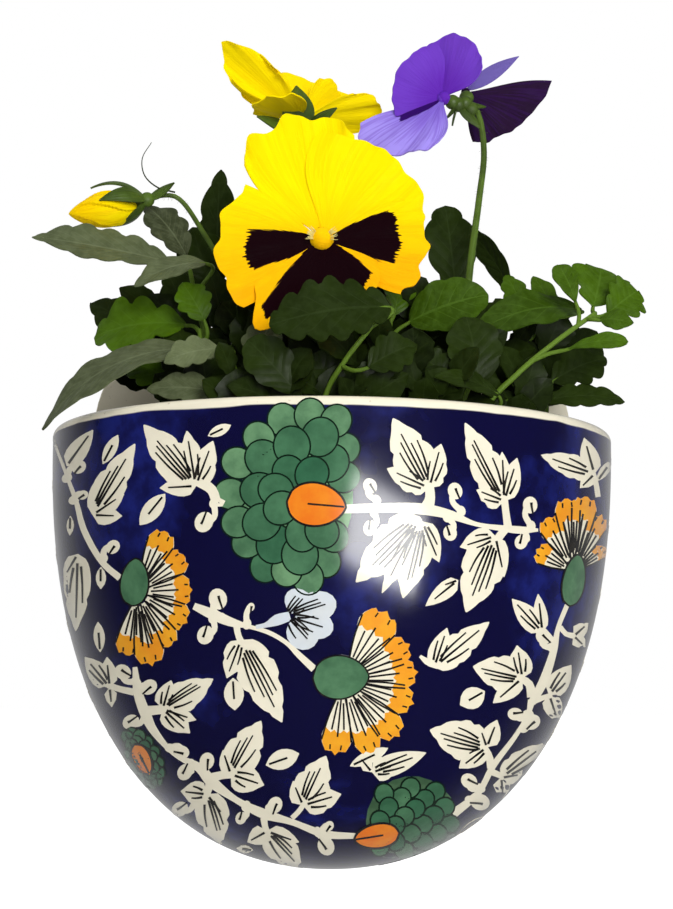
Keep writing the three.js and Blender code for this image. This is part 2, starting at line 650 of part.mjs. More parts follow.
const BUD_STALK = {
  root: [-24, -36],
  radius: 1.1,
  path: [[-25, -37, 88], [-32, -38, 118], [-45, -37, 142], [-55, -38, 155], [-62.6, -41, 154.2]],
  calyx: [[-64.6, -41.6, 152.9]],
  sepals: [
    [[-84, -44, 156], [0, -0.3, 1], 0.2], [[-80, -50, 150], [0, -1, 0.3], 0.22],
    [[-79, -36, 152], [0, 1, 0.3], 0.22], [[-76, -43, 143], [0.1, -0.2, -1], 0.16],
    [[-55, -45, 158], [0.2, -0.8, 0.5], 0],
  ],
};

// The planter body

function bowlProfile(radius, bottom) {
  const points = [];
  for (let i = 0; i <= BOWL_STEPS; i += 1) {
    const z = bottom + (RIM_Z - bottom) * (i / BOWL_STEPS) ** 2;
    const drop = (RIM_Z - z) / (RIM_Z - bottom);
    points.push([radius * (1 - drop ** BOWL_FULLNESS) ** BOWL_ROUNDNESS, z]);
  }
  points[0][0] = 0;
  return points;
}

function roundedLip() {
  const points = [];
  for (const angle of [0, 30, 60, 90]) {
    const turn = THREE.MathUtils.degToRad(angle);
    points.push([
      RIM_RADIUS - LIP_ROUND + LIP_ROUND * Math.cos(turn),
      RIM_Z - LIP_ROUND + LIP_ROUND * Math.sin(turn),
    ]);
  }
  return points;
}

function raisedBack() {
  const outline = new THREE.Shape();
  outline.moveTo(-BACK_HALF_WIDTH, RIM_Z - BACK_OVERLAP);
  outline.lineTo(BACK_HALF_WIDTH, RIM_Z - BACK_OVERLAP);
  outline.lineTo(BACK_HALF_WIDTH, RIM_Z);
  const flat = BACK_HALF_WIDTH - SHOULDER_WIDTH;
  outline.absellipse(flat, RIM_Z, SHOULDER_WIDTH, BACK_RAISE, 0, Math.PI / 2, false);
  outline.absellipse(-flat, RIM_Z, SHOULDER_WIDTH, BACK_RAISE, Math.PI / 2, Math.PI, false);
  outline.closePath();
  for (const side of [-1, 1]) {
    const hole = new THREE.Path();
    hole.absarc(side * HANGING_HOLE_X, HANGING_HOLE_Z, HANGING_HOLE_RADIUS, 0, 2 * Math.PI, true);
    outline.holes.push(hole);
  }
  const options = { depth: BACK_WALL, bevelEnabled: false, curveSegments: 8 };
  return toSolid(new THREE.ExtrudeGeometry(outline, options).rotateX(Math.PI / 2));
}

const OVERCUT = 5;

// A turned bowl, cut flat at the wall. Its cavity is cut from above the rim, and leaves a flat wall
// at the back, which the raised back is joined to.
function planterBody() {
  const lip = roundedLip();
  const side = bowlProfile(RIM_RADIUS, BOTTOM_Z).filter(([, z]) => z < RIM_Z - LIP_ROUND);
  const outer = turned([...side, ...lip, [0, RIM_Z]], BOWL_SIDES);
  const cavity = turned([
    ...bowlProfile(RIM_RADIUS - WALL, BOTTOM_Z + WALL),
    [RIM_RADIUS - WALL, RIM_Z + OVERCUT],
    [0, RIM_Z + OVERCUT],
  ], BOWL_SIDES);
  const reach = 2 * RIM_RADIUS;
  const room = block([-reach, -reach, -reach], [reach, 0, reach]);
  const inside = block([-reach, -reach, -reach], [reach, -BACK_WALL, reach]);
  return outer.intersect(room).subtract(cavity.intersect(inside)).add(raisedBack());
}

const SOIL_RINGS = [1, 0.8, 0.55, 0.28];

// Potting soil fills the bowl, slightly mounded, with a plain hole round each stem
function pottingSoil(holes) {
  const radius = RIM_RADIUS - WALL - FIT_GAP;
  const side = bowlProfile(radius, BOTTOM_Z + WALL + FIT_GAP).filter(([, z]) => z < SOIL_EDGE_Z);
  const drop = (RIM_Z - SOIL_EDGE_Z) / (RIM_Z - BOTTOM_Z - WALL);
  const edge = radius * (1 - drop ** BOWL_FULLNESS) ** BOWL_ROUNDNESS - FIT_GAP;
  const top = SOIL_RINGS.map((share) => [
    edge * share, SOIL_EDGE_Z + SOIL_MOUND * (1 - share ** 2)]);
  const fill = turned([...side, ...top, [0, SOIL_EDGE_Z + SOIL_MOUND]], SOIL_SIDES);
  const reach = 2 * RIM_RADIUS;
  const room = block([-reach, -reach, -reach], [reach, -BACK_WALL - FIT_GAP, reach]);
  return holes.reduce((soil, hole) => soil.subtract(hole), fill.intersect(room));
}

function rootHole([x, y], radius) {
  const depth = ROOT_DEPTH + FIT_GAP;
  const height = depth + 4 * SOIL_MOUND;
  const hole = new THREE.CylinderGeometry(radius, radius, height, HOLE_SIDES).rotateX(Math.PI / 2);
  return toSolid(hole.translate(x, y, SOIL_EDGE_Z - depth + height / 2));
}

// Assembly

addPart('planter_body', planterBody(), 'ceramic');

const holes = [];
for (const stem of Object.values(LEAFY_STEMS)) {
  holes.push(rootHole(stem.root, STEM_RADIUS + ROOT_HOLE_CLEARANCE));
}
for (const stalk of [...Object.values(FLOWER_STALKS), BUD_STALK]) {
  holes.push(rootHole(stalk.root, stalk.radius + ROOT_HOLE_CLEARANCE));
}
addPart('potting_soil', pottingSoil(holes), 'soil');

for (const [name, stem] of Object.entries(LEAFY_STEMS)) {
  addPart(name, leafyStem(stem), stem.finish);
}

for (const [name, stalk] of Object.entries(FLOWER_STALKS)) {
  addPart(name, flowerStalk(stalk), 'stem');
}

addPart('bud_stem', flowerStalk(BUD_STALK), 'stem');
addPart('bud_petals', rolledBud(), 'yellow');
addPart('bloom_front_petals', corolla(FRONT_PETALS, FRONT_THROAT, FRONT_THROAT_RADIUS), 'yellow');
addPart('bloom_back_petals', corolla(BACK_PETALS, BACK_THROAT, BACK_THROAT_RADIUS), 'yellow');
addPart('bloom_violet_petals', corolla(VIOLET_PETALS, VIOLET_THROAT, VIOLET_THROAT_RADIUS), 'violet');
addPart('bloom_violet_lip', petalBlade(LIP_PETAL), 'lavender');
addPart('bloom_violet_upper', corolla(PLUM_PETALS, PLUM_THROAT, PLUM_THROAT_RADIUS), 'plum');

export default planter;
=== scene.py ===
import math
import random

import bmesh
import bpy
from bpy.props import FloatProperty, FloatVectorProperty, IntProperty, PointerProperty
from mathutils import Matrix, Quaternion, Vector, geometry, noise


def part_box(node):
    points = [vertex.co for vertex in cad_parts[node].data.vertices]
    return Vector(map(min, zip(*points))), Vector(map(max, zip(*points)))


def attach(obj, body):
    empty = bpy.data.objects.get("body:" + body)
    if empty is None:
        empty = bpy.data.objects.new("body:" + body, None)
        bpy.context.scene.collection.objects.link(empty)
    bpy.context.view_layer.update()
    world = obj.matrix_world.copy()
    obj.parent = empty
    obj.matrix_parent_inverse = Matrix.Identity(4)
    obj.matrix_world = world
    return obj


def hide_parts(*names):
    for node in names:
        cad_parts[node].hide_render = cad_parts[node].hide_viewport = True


bl_info = {
    "name": "Potted pansy wall planter",
    "version": (1, 0, 0),
    "blender": (4, 5, 0),
    "location": "3D View > Sidebar > Planter",
    "description": "Dresses a glazed half-round wall planter with its painting, soil and pansies",
    "category": "Object",
}

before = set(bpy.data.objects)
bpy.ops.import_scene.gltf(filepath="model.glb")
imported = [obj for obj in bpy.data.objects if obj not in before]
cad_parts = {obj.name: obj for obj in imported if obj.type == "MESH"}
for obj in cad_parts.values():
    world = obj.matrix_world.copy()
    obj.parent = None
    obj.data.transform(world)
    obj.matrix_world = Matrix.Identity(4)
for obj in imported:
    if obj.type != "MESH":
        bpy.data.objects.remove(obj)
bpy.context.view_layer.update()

# Sizes are in millimetres, in the planter's frame, and become metres where a mesh is made
MM = 0.001
BODY_LOW, BODY_HIGH = (Vector(corner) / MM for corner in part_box("planter_body"))
RIM_RADIUS = -BODY_LOW.y
BOTTOM_Z = BODY_LOW.z
BACK_RAISE = 30
RIM_Z = BODY_HIGH.z - BACK_RAISE
WALL = 6
LIP_ROUND = 2.5
BACK_HALF_WIDTH = 86
SHOULDER_WIDTH = 18
HANGING_HOLE_RADIUS = 5
HANGING_HOLE_X = 40
HANGING_HOLE_Z = 93
BOWL_FULLNESS = 2.4
BOWL_ROUNDNESS = 0.46
SOIL_EDGE_Z = 62
ROOT_DEPTH = 8
STEM_RADIUS = 1.1
PETIOLE_RADIUS = 0.75

# The camera stands where the photograph was taken from, and looks slightly up
CAMERA_EYE = Vector((0, -598, -6))
CAMERA_PITCH = math.radians(7.28)
CAMERA_PAN = 0.0027
CAMERA_ROLL = 0.010
FOCAL_PIXELS = 1660
PHOTO_WIDTH, PHOTO_HEIGHT = 673, 909
SENSOR_MM = 36
FLOOR_Z = -350


def camera_axes():
    """The camera's right, up and forward directions"""
    ahead = Vector((math.sin(CAMERA_PAN) * math.cos(CAMERA_PITCH),
                    math.cos(CAMERA_PAN) * math.cos(CAMERA_PITCH),
                    math.sin(CAMERA_PITCH)))
    level = Vector((math.cos(CAMERA_PAN), -math.sin(CAMERA_PAN), 0))
    above = level.cross(ahead)
    turn, tilt = math.cos(CAMERA_ROLL), math.sin(CAMERA_ROLL)
    return level * turn + above * tilt, above * turn - level * tilt, ahead


CAMERA_RIGHT, CAMERA_UP, CAMERA_AHEAD = camera_axes()


# Properties that a user may change

def colour(name, description, value):
    return FloatVectorProperty(name=name, description=description, default=value, size=3,
                               min=0, max=1, subtype="COLOR")


class PlanterGlaze(bpy.types.PropertyGroup):
    """Colours and gloss of the fired glazes"""
    ground: colour("Ground", "Deep cobalt of the painted ground", (0.0035, 0.003, 0.036))
    ground_light: colour("Thin ground", "Lighter blue where the cobalt lies thin", (0.01, 0.016, 0.16))
    cream: colour("Cream", "Clear glaze over the pale clay", (0.92, 0.86, 0.68))
    cream_cool: colour("Bluish white", "White of the bell flower", (0.66, 0.72, 0.78))
    green: colour("Green", "Copper green of the rosettes", (0.035, 0.14, 0.07))
    green_light: colour("Light green", "Thin copper green", (0.2, 0.38, 0.19))
    orange: colour("Orange", "Iron orange of the petals' ends", (0.92, 0.42, 0.02))
    orange_red: colour("Red orange", "Strong orange of the hearts", (0.8, 0.14, 0.01))
    line: colour("Line", "Manganese black of the drawn lines", (0.006, 0.006, 0.008))
    gloss: FloatProperty(name="Roughness", description="Roughness of the glaze", default=0.17,
                         min=0, max=1, subtype="FACTOR")


class PlanterPlants(bpy.types.PropertyGroup):
    """Colours and fineness of the plants"""
    # The three leaf greens are lit and shaded copies of one leaf colour. The bright green is painted light,
    # for leaves with light shining through them. The dark green is painted shade, for leaves at the back and
    # low in the pot. The grey green is a painted sheen, for leaves whose upper faces catch the light.
    leaf: colour("Leaf", "Bright young leaves", (0.058, 0.125, 0.003))
    leaf_dark: colour("Dark leaf", "Older leaves in the shade", (0.018, 0.033, 0.003))
    leaf_grey: colour("Grey leaf", "Long leaves with a dull bloom on them", (0.11, 0.135, 0.06))
    stalk: colour("Stalk", "Pale green stalks", (0.12, 0.21, 0.022))
    yellow: colour("Yellow", "Upper petals of the yellow blooms", (1.0, 0.79, 0.0))
    golden: colour("Golden yellow", "Side and lower petals of the yellow blooms", (1.0, 0.46, 0.002))
    blotch: colour("Blotch", "Near-black maroon of the face", (0.008, 0.0008, 0.0025))
    violet: colour("Violet", "Side petals of the violet bloom", (0.12, 0.02, 0.42))
    lavender: colour("Lavender", "Lip of the violet bloom", (0.37, 0.29, 0.83))
    # The plum is partly the upper petals' own dark violet and partly painted shade, for the broad upper petal
    # seen from behind
    plum: colour("Plum", "Upper petals of the violet bloom", (0.02, 0.006, 0.03))
    rows: IntProperty(name="Leaf rows", description="Rows of faces along a leaf", default=34, min=8)
    columns: IntProperty(name="Leaf columns", description="Faces across a leaf", default=12, min=4)
    petal_rows: IntProperty(name="Petal rows", description="Rows of faces in a petal", default=20, min=6)
    petal_columns: IntProperty(name="Petal columns", description="Faces round a petal", default=44, min=8)


class PlanterLight(bpy.types.PropertyGroup):
    """Strength of the studio lights"""
    window: FloatProperty(name="Window", description="Power of the window light, in watts",
                          default=15, min=0, subtype="POWER")
    key: FloatProperty(name="Key", description="Power of the main light, in watts", default=14,
                       min=0, subtype="POWER")
    sky: FloatProperty(name="Sky", description="Strength of the pale surroundings", default=0.3, min=0)


def settings():
    return bpy.context.scene.pansy_planter


# Meshes

SHADE = "shade"
MERGE = 1e-7
TUBE_SIDES = 10


def new_mesh():
    """An empty bmesh with a UV map and a shade attribute: tone, seed and, on plants, stalk"""
    mesh = bmesh.new()
    mesh.loops.layers.uv.new("UVMap")
    mesh.verts.layers.float_color.new(SHADE)
    return mesh


def patch(mesh, rows, columns, point, shade, turned_over=False):
    """Faces over the surface point(t, s), with t from 0 to 1 and s from -1 to 1"""
    made = bmesh.ops.create_grid(mesh, x_segments=rows, y_segments=columns, size=1, calc_uvs=True)
    verts = made["verts"]
    layer = mesh.verts.layers.float_color[SHADE]
    for vert in verts:
        vert.co = point((vert.co.x + 1) / 2, vert.co.y) * MM
        vert[layer] = (*shade, 1)
    faces = list({face for vert in verts for face in vert.link_faces})
    if turned_over:
        bmesh.ops.reverse_faces(mesh, faces=faces)
    return verts, faces


def plate(mesh, rows, columns, point, out, thickness, shade):
    """A closed thin plate round a surface whose faces look along out"""
    lift = out * (thickness / 2)
    _, faces = patch(mesh, rows, columns, lambda t, s: point(t, s) + lift, shade, turned_over=True)
    mesh.normal_update()
    bmesh.ops.solidify(mesh, geom=faces, thickness=thickness * MM)


def tube(mesh, path, radius, shade, sides=TUBE_SIDES):
    """A closed round rod along evenly spaced points. The radius may change along it."""
    spread = turning_frames(path)
    rows = len(path) + 1

    def point(t, s):
        row = round(t * rows)
        index = min(max(row - 1, 0), len(path) - 1)
        reach = 0 if row in (0, rows) else radius(index / (len(path) - 1))
        side, other = spread[index]
        angle = math.pi * s
        return path[index] + side * (reach * math.cos(angle)) - other * (reach * math.sin(angle))

    verts, _ = patch(mesh, rows, sides, point, shade)
    bmesh.ops.remove_doubles(mesh, verts=verts, dist=MERGE)


def turning_frames(path):
    """Two directions across the path at each point, which turn no more than the path does"""
    ahead = (path[1] - path[0]).normalized()
    side = ahead.orthogonal().normalized()
    frames = []
    for index in range(len(path)):
        before, after = path[max(index - 1, 0)], path[min(index + 1, len(path) - 1)]
        new_ahead = (after - before).normalized()
        side.rotate(ahead.rotation_difference(new_ahead))
        ahead = new_ahead
        frames.append((side.copy(), ahead.cross(side).normalized()))
    return frames


CURVE_STEPS = 14
SHORTEST_STEP = 1e-4


def smooth_path(points, count):
    """Evenly spaced points on a smooth curve through the given ones"""
    given = [Vector(point) for point in points]
    given = [2 * given[0] - given[1], *given, 2 * given[-1] - given[-2]]
    fine = []
    for before, start, end, after in zip(given, given[1:], given[2:], given[3:]):
        fine += curve_between(before, start, end, after)
    fine.append(given[-2])
    lengths = [0]
    for start, end in zip(fine, fine[1:]):
        lengths.append(lengths[-1] + (end - start).length)
    even = []
    index = 0
    for step in range(count):
        wanted = lengths[-1] * step / (count - 1)
        while index < len(fine) - 2 and lengths[index + 1] < wanted:
            index += 1
        share = (wanted - lengths[index]) / max(lengths[index + 1] - lengths[index], 1e-9)
        even.append(fine[index].lerp(fine[index + 1], min(share, 1)))
    return even


def curve_between(before, start, end, after):
    """A stretch of a centripetal curve, without its end"""
    first, middle, last = (max(stretch.length ** 0.5, SHORTEST_STEP)
                           for stretch in (start - before, end - start, after - end))
    leave = (start - before) / first - (end - before) / (first + middle) + (end - start) / middle
    arrive = (end - start) / middle - (after - start) / (middle + last) + (after - end) / last
    bend = middle / 3
    curve = geometry.interpolate_bezier(start, start + leave * bend, end - arrive * bend, end,
                                        CURVE_STEPS + 1)
    return curve[:-1]


SMOOTH_ANGLE = math.radians(40)


def new_object(name, mesh):
    data = bpy.data.meshes.new(name)
    mesh.to_mesh(data)
    mesh.free()
    made = bpy.data.objects.new(name, data)
    bpy.context.scene.collection.objects.link(made)
    return made


def finish_piece(name, mesh, materials, slot, node=None):
    """Turns a bmesh into a piece that rides on the planter, and stands for a CAD node if one is given"""
    bmesh.ops.recalc_face_normals(mesh, faces=mesh.faces)
    piece = new_object(name, mesh)
    piece.data.shade_smooth()
    piece.data.set_sharp_from_angle(angle=SMOOTH_ANGLE)
    for material in materials:
        piece.data.materials.append(material)
    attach(piece, "root")
    if node:
        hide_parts(node)


# Node groups and materials

class Nodes:
    """Adds nodes to one tree. A socket takes a number, a colour or another node's output."""

    def __init__(self, tree):
        self.tree = tree

    def feed(self, node, sockets):
        for key, value in sockets.items():
            socket = node.inputs[key]
            if isinstance(value, bpy.types.NodeSocket):
                self.tree.links.new(value, socket)
            elif socket.type == "RGBA":
                socket.default_value = (*value, 1)
            else:
                socket.default_value = value

    def add(self, kind, sockets=None, **values):
        node = self.tree.nodes.new(kind)
        for key, value in values.items():
            setattr(node, key, value)
        self.feed(node, sockets or {})
        return node

    def math(self, operation, *values):
        return self.add("ShaderNodeMath", dict(enumerate(values)), operation=operation).outputs[0]

    def times(self, first, second):
        return self.math("MULTIPLY", first, second)

    def minus(self, first, second):
        return self.math("SUBTRACT", first, second)

    def times_plus(self, first, second, rest):
        return self.math("MULTIPLY_ADD", first, second, rest)

    def between(self, value, low, high, start=0.0, end=1.0):
        """Maps low to start and high to end, smoothly, and holds it beyond them"""
        sockets = {"Value": value, "From Min": low, "From Max": high, "To Min": start, "To Max": end}
        return self.add("ShaderNodeMapRange", sockets, interpolation_type="SMOOTHSTEP").outputs["Result"]

    def mix(self, share, first, second):
        return self.add("ShaderNodeMix", {0: share, 6: first, 7: second}, data_type="RGBA").outputs[2]

    def split(self, vector):
        return self.add("ShaderNodeSeparateXYZ", {0: vector}).outputs

    def noise(self, vector, scale, detail):
        sockets = {"Vector": vector, "Scale": scale, "Detail": detail}
        return self.add("ShaderNodeTexNoise", sockets).outputs["Fac"]

    def group(self, group, sockets):
        return self.add("ShaderNodeGroup", sockets, node_tree=group).outputs

    def clouds(self, vector, scale, hardness=0.5, detail=3.0):
        sockets = {"Vector": vector, "Scale": scale, "Hardness": hardness, "Detail": detail}
        return self.group(cloud_group(), sockets)["Mask"]


def shared_group(name, build, vector, numbers):
    """The node group of this name, made once. build(nodes, given) says what feeds each output."""
    group = bpy.data.node_groups.get(name)
    if group:
        return group
    group = bpy.data.node_groups.new(name, "ShaderNodeTree")
    group.interface.new_socket(vector, in_out="INPUT", socket_type="NodeSocketVector")
    for key, default in numbers.items():
        socket = group.interface.new_socket(key, in_out="INPUT", socket_type="NodeSocketFloat")
        socket.default_value = default
    fed = build(Nodes(group), group.nodes.new("NodeGroupInput").outputs)
    for key in fed:
        group.interface.new_socket(key, in_out="OUTPUT", socket_type="NodeSocketFloat")
    result = group.nodes.new("NodeGroupOutput")
    Nodes(group).feed(result, fed)
    return group


def cloud_group():
    """Soft blotches with a given size and hardness"""
    def build(nodes, given):
        sockets = {"Vector": given["Vector"], "Scale": given["Scale"], "Detail": given["Detail"],
                   "Roughness": 0.6}
        cloud = nodes.add("ShaderNodeTexNoise", sockets).outputs["Fac"]
        margin = nodes.times_plus(given["Hardness"], -0.28, 0.3)
        return {"Mask": nodes.between(cloud, nodes.minus(0.5, margin), nodes.math("ADD", 0.5, margin))}

    return shared_group("Cloudy blotches", build, "Vector", {"Scale": 60.0, "Hardness": 0.5, "Detail": 3.0})


def leaf_vein_group():
    """A midrib and side veins that slant forward, from a leaf's UV map"""
    def build(nodes, given):
        uv = nodes.split(given["UV"])
        side = nodes.math("ABSOLUTE", nodes.times_plus(uv[1], 2.0, -1.0))
        drawn = nodes.minus(uv[0], nodes.times(side, given["Slant"]))
        beat = nodes.math("PINGPONG", nodes.times(drawn, given["Pairs"]), 0.5)
        fading = nodes.between(side, 0.45, 0.95, 0.75, 0.0)
        branch = nodes.times(nodes.between(beat, 0.0, 0.07, 1.0, 0.0), fading)
        width = nodes.times_plus(uv[0], -0.05, 0.09)
        rib = nodes.between(side, nodes.times(width, 0.4), width, 1.0, 0.0)
        return {"Vein": nodes.math("MAXIMUM", rib, branch), "Puff": nodes.between(beat, 0.0, 0.45)}

    return shared_group("Leaf veins", build, "UV", {"Pairs": 7.0, "Slant": 0.28})


def petal_ray_group():
    """Fine lines that fan out from a flower's throat, from a petal's UV map"""
    def build(nodes, given):
        uv = nodes.split(given["UV"])
        fine = {0: nodes.times(uv[0], 1.6), 1: nodes.times(uv[1], given["Density"])}
        broad = {0: nodes.times(uv[0], 3.0), 1: nodes.times(uv[1], 34.0)}
        lines = nodes.noise(nodes.add("ShaderNodeCombineXYZ", fine).outputs[0], 1.0, 2.0)
        edge = nodes.noise(nodes.add("ShaderNodeCombineXYZ", broad).outputs[0], 1.0, 3.0)
        return {"Ray": nodes.between(lines, 0.42, 0.6), "Ragged": nodes.minus(edge, 0.5)}

    return shared_group("Petal rays", build, "UV", {"Density": 30.0})


class Finish(Nodes):
    """A new material with its shader, and the nodes that give place, UV and shade"""

    def __init__(self, name):
        self.material = bpy.data.materials.new(name)
        self.material.use_nodes = True
        super().__init__(self.material.node_tree)
        self.shader = self.tree.nodes["Principled BSDF"]
        place = self.add("ShaderNodeTexCoord").outputs
        self.spot, self.uv = place["Object"], place["UV"]
        shade = self.add("ShaderNodeAttribute", attribute_name=SHADE, attribute_type="GEOMETRY")
        self.shade = self.add("ShaderNodeSeparateColor", {0: shade.outputs["Color"]}).outputs

    def dress(self, sockets):
        self.feed(self.shader, sockets)

    def bump(self, height, strength, distance):
        """Distance is in millimetres"""
        sockets = {"Height": height, "Strength": strength, "Distance": distance * MM}
        self.dress({"Normal": self.add("ShaderNodeBump", sockets).outputs[0]})

    def dull(self, scale, low, high):
        """Roughness that wanders between two values"""
        self.dress({"Roughness": self.between(self.clouds(self.spot, scale, 0.2), 0.0, 1.0, low, high)})

    def blotched(self, scale, hardness, detail, strength, base, blotch):
        """One colour with blotches of another, as strong as given"""
        share = self.times(self.clouds(self.spot, scale, hardness, detail), strength)
        return self.mix(share, base, blotch)


def times_colour(value, share):
    return tuple(part * share for part in value)


GLAZE_COAT = 0.85
GLAZE_COAT_ROUGHNESS = 0.13
GLAZE_WAVE_MM = 0.35


def glaze(name, paint):
    """A fired glaze. paint(finish) gives its colour."""
    finish = Finish(name)
    finish.dress({"Base Color": paint(finish), "Coat Weight": GLAZE_COAT,
                  "Coat Roughness": GLAZE_COAT_ROUGHNESS, "Specular IOR Level": 0.15})
    gloss = settings().glaze.gloss
    finish.dull(45.0, gloss * 0.8, gloss * 1.3)
    pits, wave = finish.noise(finish.spot, 900.0, 2.0), finish.noise(finish.spot, 38.0, 1.0)
    finish.bump(finish.times_plus(pits, 0.015, wave), 0.35, GLAZE_WAVE_MM)
    return finish.material


# The pale band below the lip starts where the height, raised by a wave, passes RIM_BAND_Z
RIM_BAND_Z = 73.8
RIM_BAND_BLUR = 0.5
RIM_BAND_WAVE = 2.4


def ground_paint(finish):
    """Cobalt with cloudy thin places, up to the pale band below the lip"""
    colours, spot = settings().glaze, finish.spot
    broad = finish.between(finish.clouds(spot, 20.0, 0.35, 4.0), 0.5, 1.0)
    small = finish.times_plus(finish.clouds(spot, 95.0, 0.55, 4.0), 0.75, 0.25)
    blue = finish.mix(finish.times(broad, small), colours.ground, colours.ground_light)
    edge = finish.times_plus(finish.noise(spot, 30.0, 2.0), RIM_BAND_WAVE * MM, finish.split(spot)[2])
    band = finish.between(edge, RIM_BAND_Z * MM, (RIM_BAND_Z + RIM_BAND_BLUR) * MM)
    return finish.mix(band, blue, cream_paint(finish))


def cream_paint(finish):
    """Clear glaze over pale clay, slightly toned and speckled"""
    colours = settings().glaze
    warm = finish.mix(finish.shade[0], colours.cream_cool, colours.cream)
    return finish.blotched(55.0, 0.3, 5.0, 0.3, warm, times_colour(colours.cream, 0.78))


def body_cream_paint(finish):
    """The clear glaze of the lip, the inside and the back, with brown specks and worn places"""
    cream = settings().glaze.cream
    base = finish.blotched(30.0, 0.1, 5.0, 0.4, cream, times_colour(cream, 0.86))
    specks = finish.between(finish.clouds(finish.spot, 420.0, 0.0, 2.0), 0.88, 0.98, 0.0, 0.35)
    return finish.mix(specks, base, (0.3, 0.2, 0.1))


def green_paint(finish):
    """Thin and pooled copper green, nearly black where the shade says so"""
    colours = settings().glaze
    pale = finish.mix(finish.shade[0], colours.green, colours.green_light)
    washed = finish.blotched(130.0, 0.35, 4.0, 0.55, pale, times_colour(colours.green, 0.5))
    return finish.mix(finish.shade[1], washed, times_colour(colours.green, 0.12))


def orange_paint(finish):
    """Orange that pools to a stronger red orange"""
    colours = settings().glaze
    pooled = finish.clouds(finish.spot, 120.0, 0.5, 4.0)
    strong = finish.times_plus(pooled, 0.25, finish.times(finish.shade[0], 0.75))
    return finish.mix(strong, colours.orange, colours.orange_red)


def line_paint(finish):
    """Manganese black with brown in it"""
    return finish.blotched(300.0, 0.5, 3.0, 0.5, settings().glaze.line, (0.035, 0.03, 0.02))


def leaf_material(name, colour_value, paleness, pairs, relief=0.25):
    """A toothed leaf with paler veins, darker and lighter patches, pale flecks of painted highlight and a
    soft satin sheen

    Relief is in millimetres."""
    finish = Finish(name)
    spot = finish.spot
    veins = finish.group(leaf_vein_group(), {"UV": finish.uv, "Pairs": pairs})
    light = tuple(min(1, part) for part in times_colour(colour_value, 1.6))
    dark = times_colour(colour_value, 0.4)
    pale = tuple(part + paleness for part in times_colour(colour_value, 1.5))
    toned = finish.mix(finish.shade[0], dark, light)
    patched = finish.blotched(110.0, 0.3, 3.0, 0.45, toned, dark)
    veined = finish.mix(finish.times(veins["Vein"], 0.3), patched, pale)
    # Painted highlight: fine pale flecks mixed into the leaf's colour stand for rim light on it
    painted_rim_light = finish.between(finish.clouds(spot, 330.0, 0.2), 0.2, 0.9, 0.0, 0.18)
    veined = finish.mix(painted_rim_light, veined, pale)
    finish.dress({"Base Color": finish.mix(finish.shade[2], veined, settings().plants.stalk),
                  "Specular IOR Level": 0.14})
    finish.dull(200.0, 0.38, 0.55)
    grainy = finish.times_plus(finish.noise(spot, 1100.0, 3.0), 0.3, veins["Puff"])
    finish.bump(finish.minus(grainy, finish.times(veins["Vein"], 0.5)), 0.3, relief)
    return finish.material


STALK_RIBS = 5


def stalk_material(name):
    """Pale green, slightly ribbed along the stalk, and darker in places"""
    finish = Finish(name)
    plants = settings().plants
    dark = times_colour(plants.stalk, 0.45)
    toned = finish.mix(finish.clouds(finish.spot, 90.0, 0.3), plants.stalk, dark)
    finish.dress({"Base Color": finish.mix(finish.shade[0], toned, plants.leaf_dark)})
    finish.dull(200.0, 0.4, 0.6)
    ribs = finish.math("SINE", finish.times(finish.split(finish.uv)[1], 2 * math.pi * STALK_RIBS))
    finish.bump(ribs, 0.3, 0.15)
    return finish.material


def petal_material(name, inner, outer, blotch, ray_colour, ray_strength, fade=None):
    """Velvety petals. Shade gives how far the blotch reaches, and between which sides.

    The outer colour lies at the ends of the petals, or below a height where fade gives (high, low)."""
    finish = Finish(name)
    spot, uv, shade = finish.spot, finish.split(finish.uv), finish.shade
    rays = finish.group(petal_ray_group(), {"UV": finish.uv, "Density": 30.0})
    if fade:
        ends = finish.between(finish.split(spot)[2], fade[1] * MM, fade[0] * MM, 1.0, 0.0)
    else:
        ends = finish.between(uv[0], 0.1, 0.85)
    base = finish.blotched(60.0, 0.3, 3.0, 0.3, finish.mix(ends, inner, outer), inner)
    lined = finish.mix(finish.times(rays["Ray"], ray_strength), base, ray_colour)
    mask = blotch_mask(finish, uv, shade, rays["Ragged"])
    finish.dress({"Base Color": finish.mix(mask, lined, blotch), "Specular IOR Level": 0.04,
                  "Sheen Weight": 0.01})
    finish.dull(300.0, 0.55, 0.75)
    finish.bump(finish.times_plus(finish.noise(spot, 1500.0, 2.0), 0.2, rays["Ray"]), 0.3, 0.25)
    return finish.material


BLOTCH_EDGE = (-0.006, 0.012)
BLOTCH_FLARE = 0.2


def blotch_mask(finish, uv, shade, ragged):
    """1 inside the ragged blotch, which widens towards the throat"""
    end = finish.times_plus(ragged, 0.22, uv[0])
    flare = finish.times(finish.math("POWER", finish.minus(1.0, uv[0]), 3.0), BLOTCH_FLARE)
    wander = finish.times_plus(ragged, 0.1, uv[1])
    reach = finish.between(finish.minus(shade[0], end), *BLOTCH_EDGE)
    above = finish.between(finish.math("ADD", finish.minus(wander, shade[1]), flare), *BLOTCH_EDGE)
    below = finish.between(finish.math("ADD", finish.minus(shade[2], wander), flare), *BLOTCH_EDGE)
    return finish.times(reach, finish.times(above, below))


def soil_material(name):
    """Dark crumbs with pale fibres and bits of bark"""
    finish = Finish(name)
    dark, brown, pale = (0.012, 0.008, 0.005), (0.05, 0.03, 0.018), (0.2, 0.14, 0.08)
    base = finish.mix(finish.clouds(finish.spot, 350.0, 0.4, 5.0), dark, brown)
    bits = finish.between(finish.clouds(finish.spot, 240.0, 0.8), 0.75, 1.0, 0.0, 0.6)
    finish.dress({"Base Color": finish.mix(bits, base, pale), "Roughness": 0.95})
    crumbs = finish.add("ShaderNodeTexVoronoi", {"Vector": finish.spot, "Scale": 420.0})
    finish.bump(crumbs.outputs["Distance"], 0.9, 1.2)
    return finish.material


# The glazed bowl

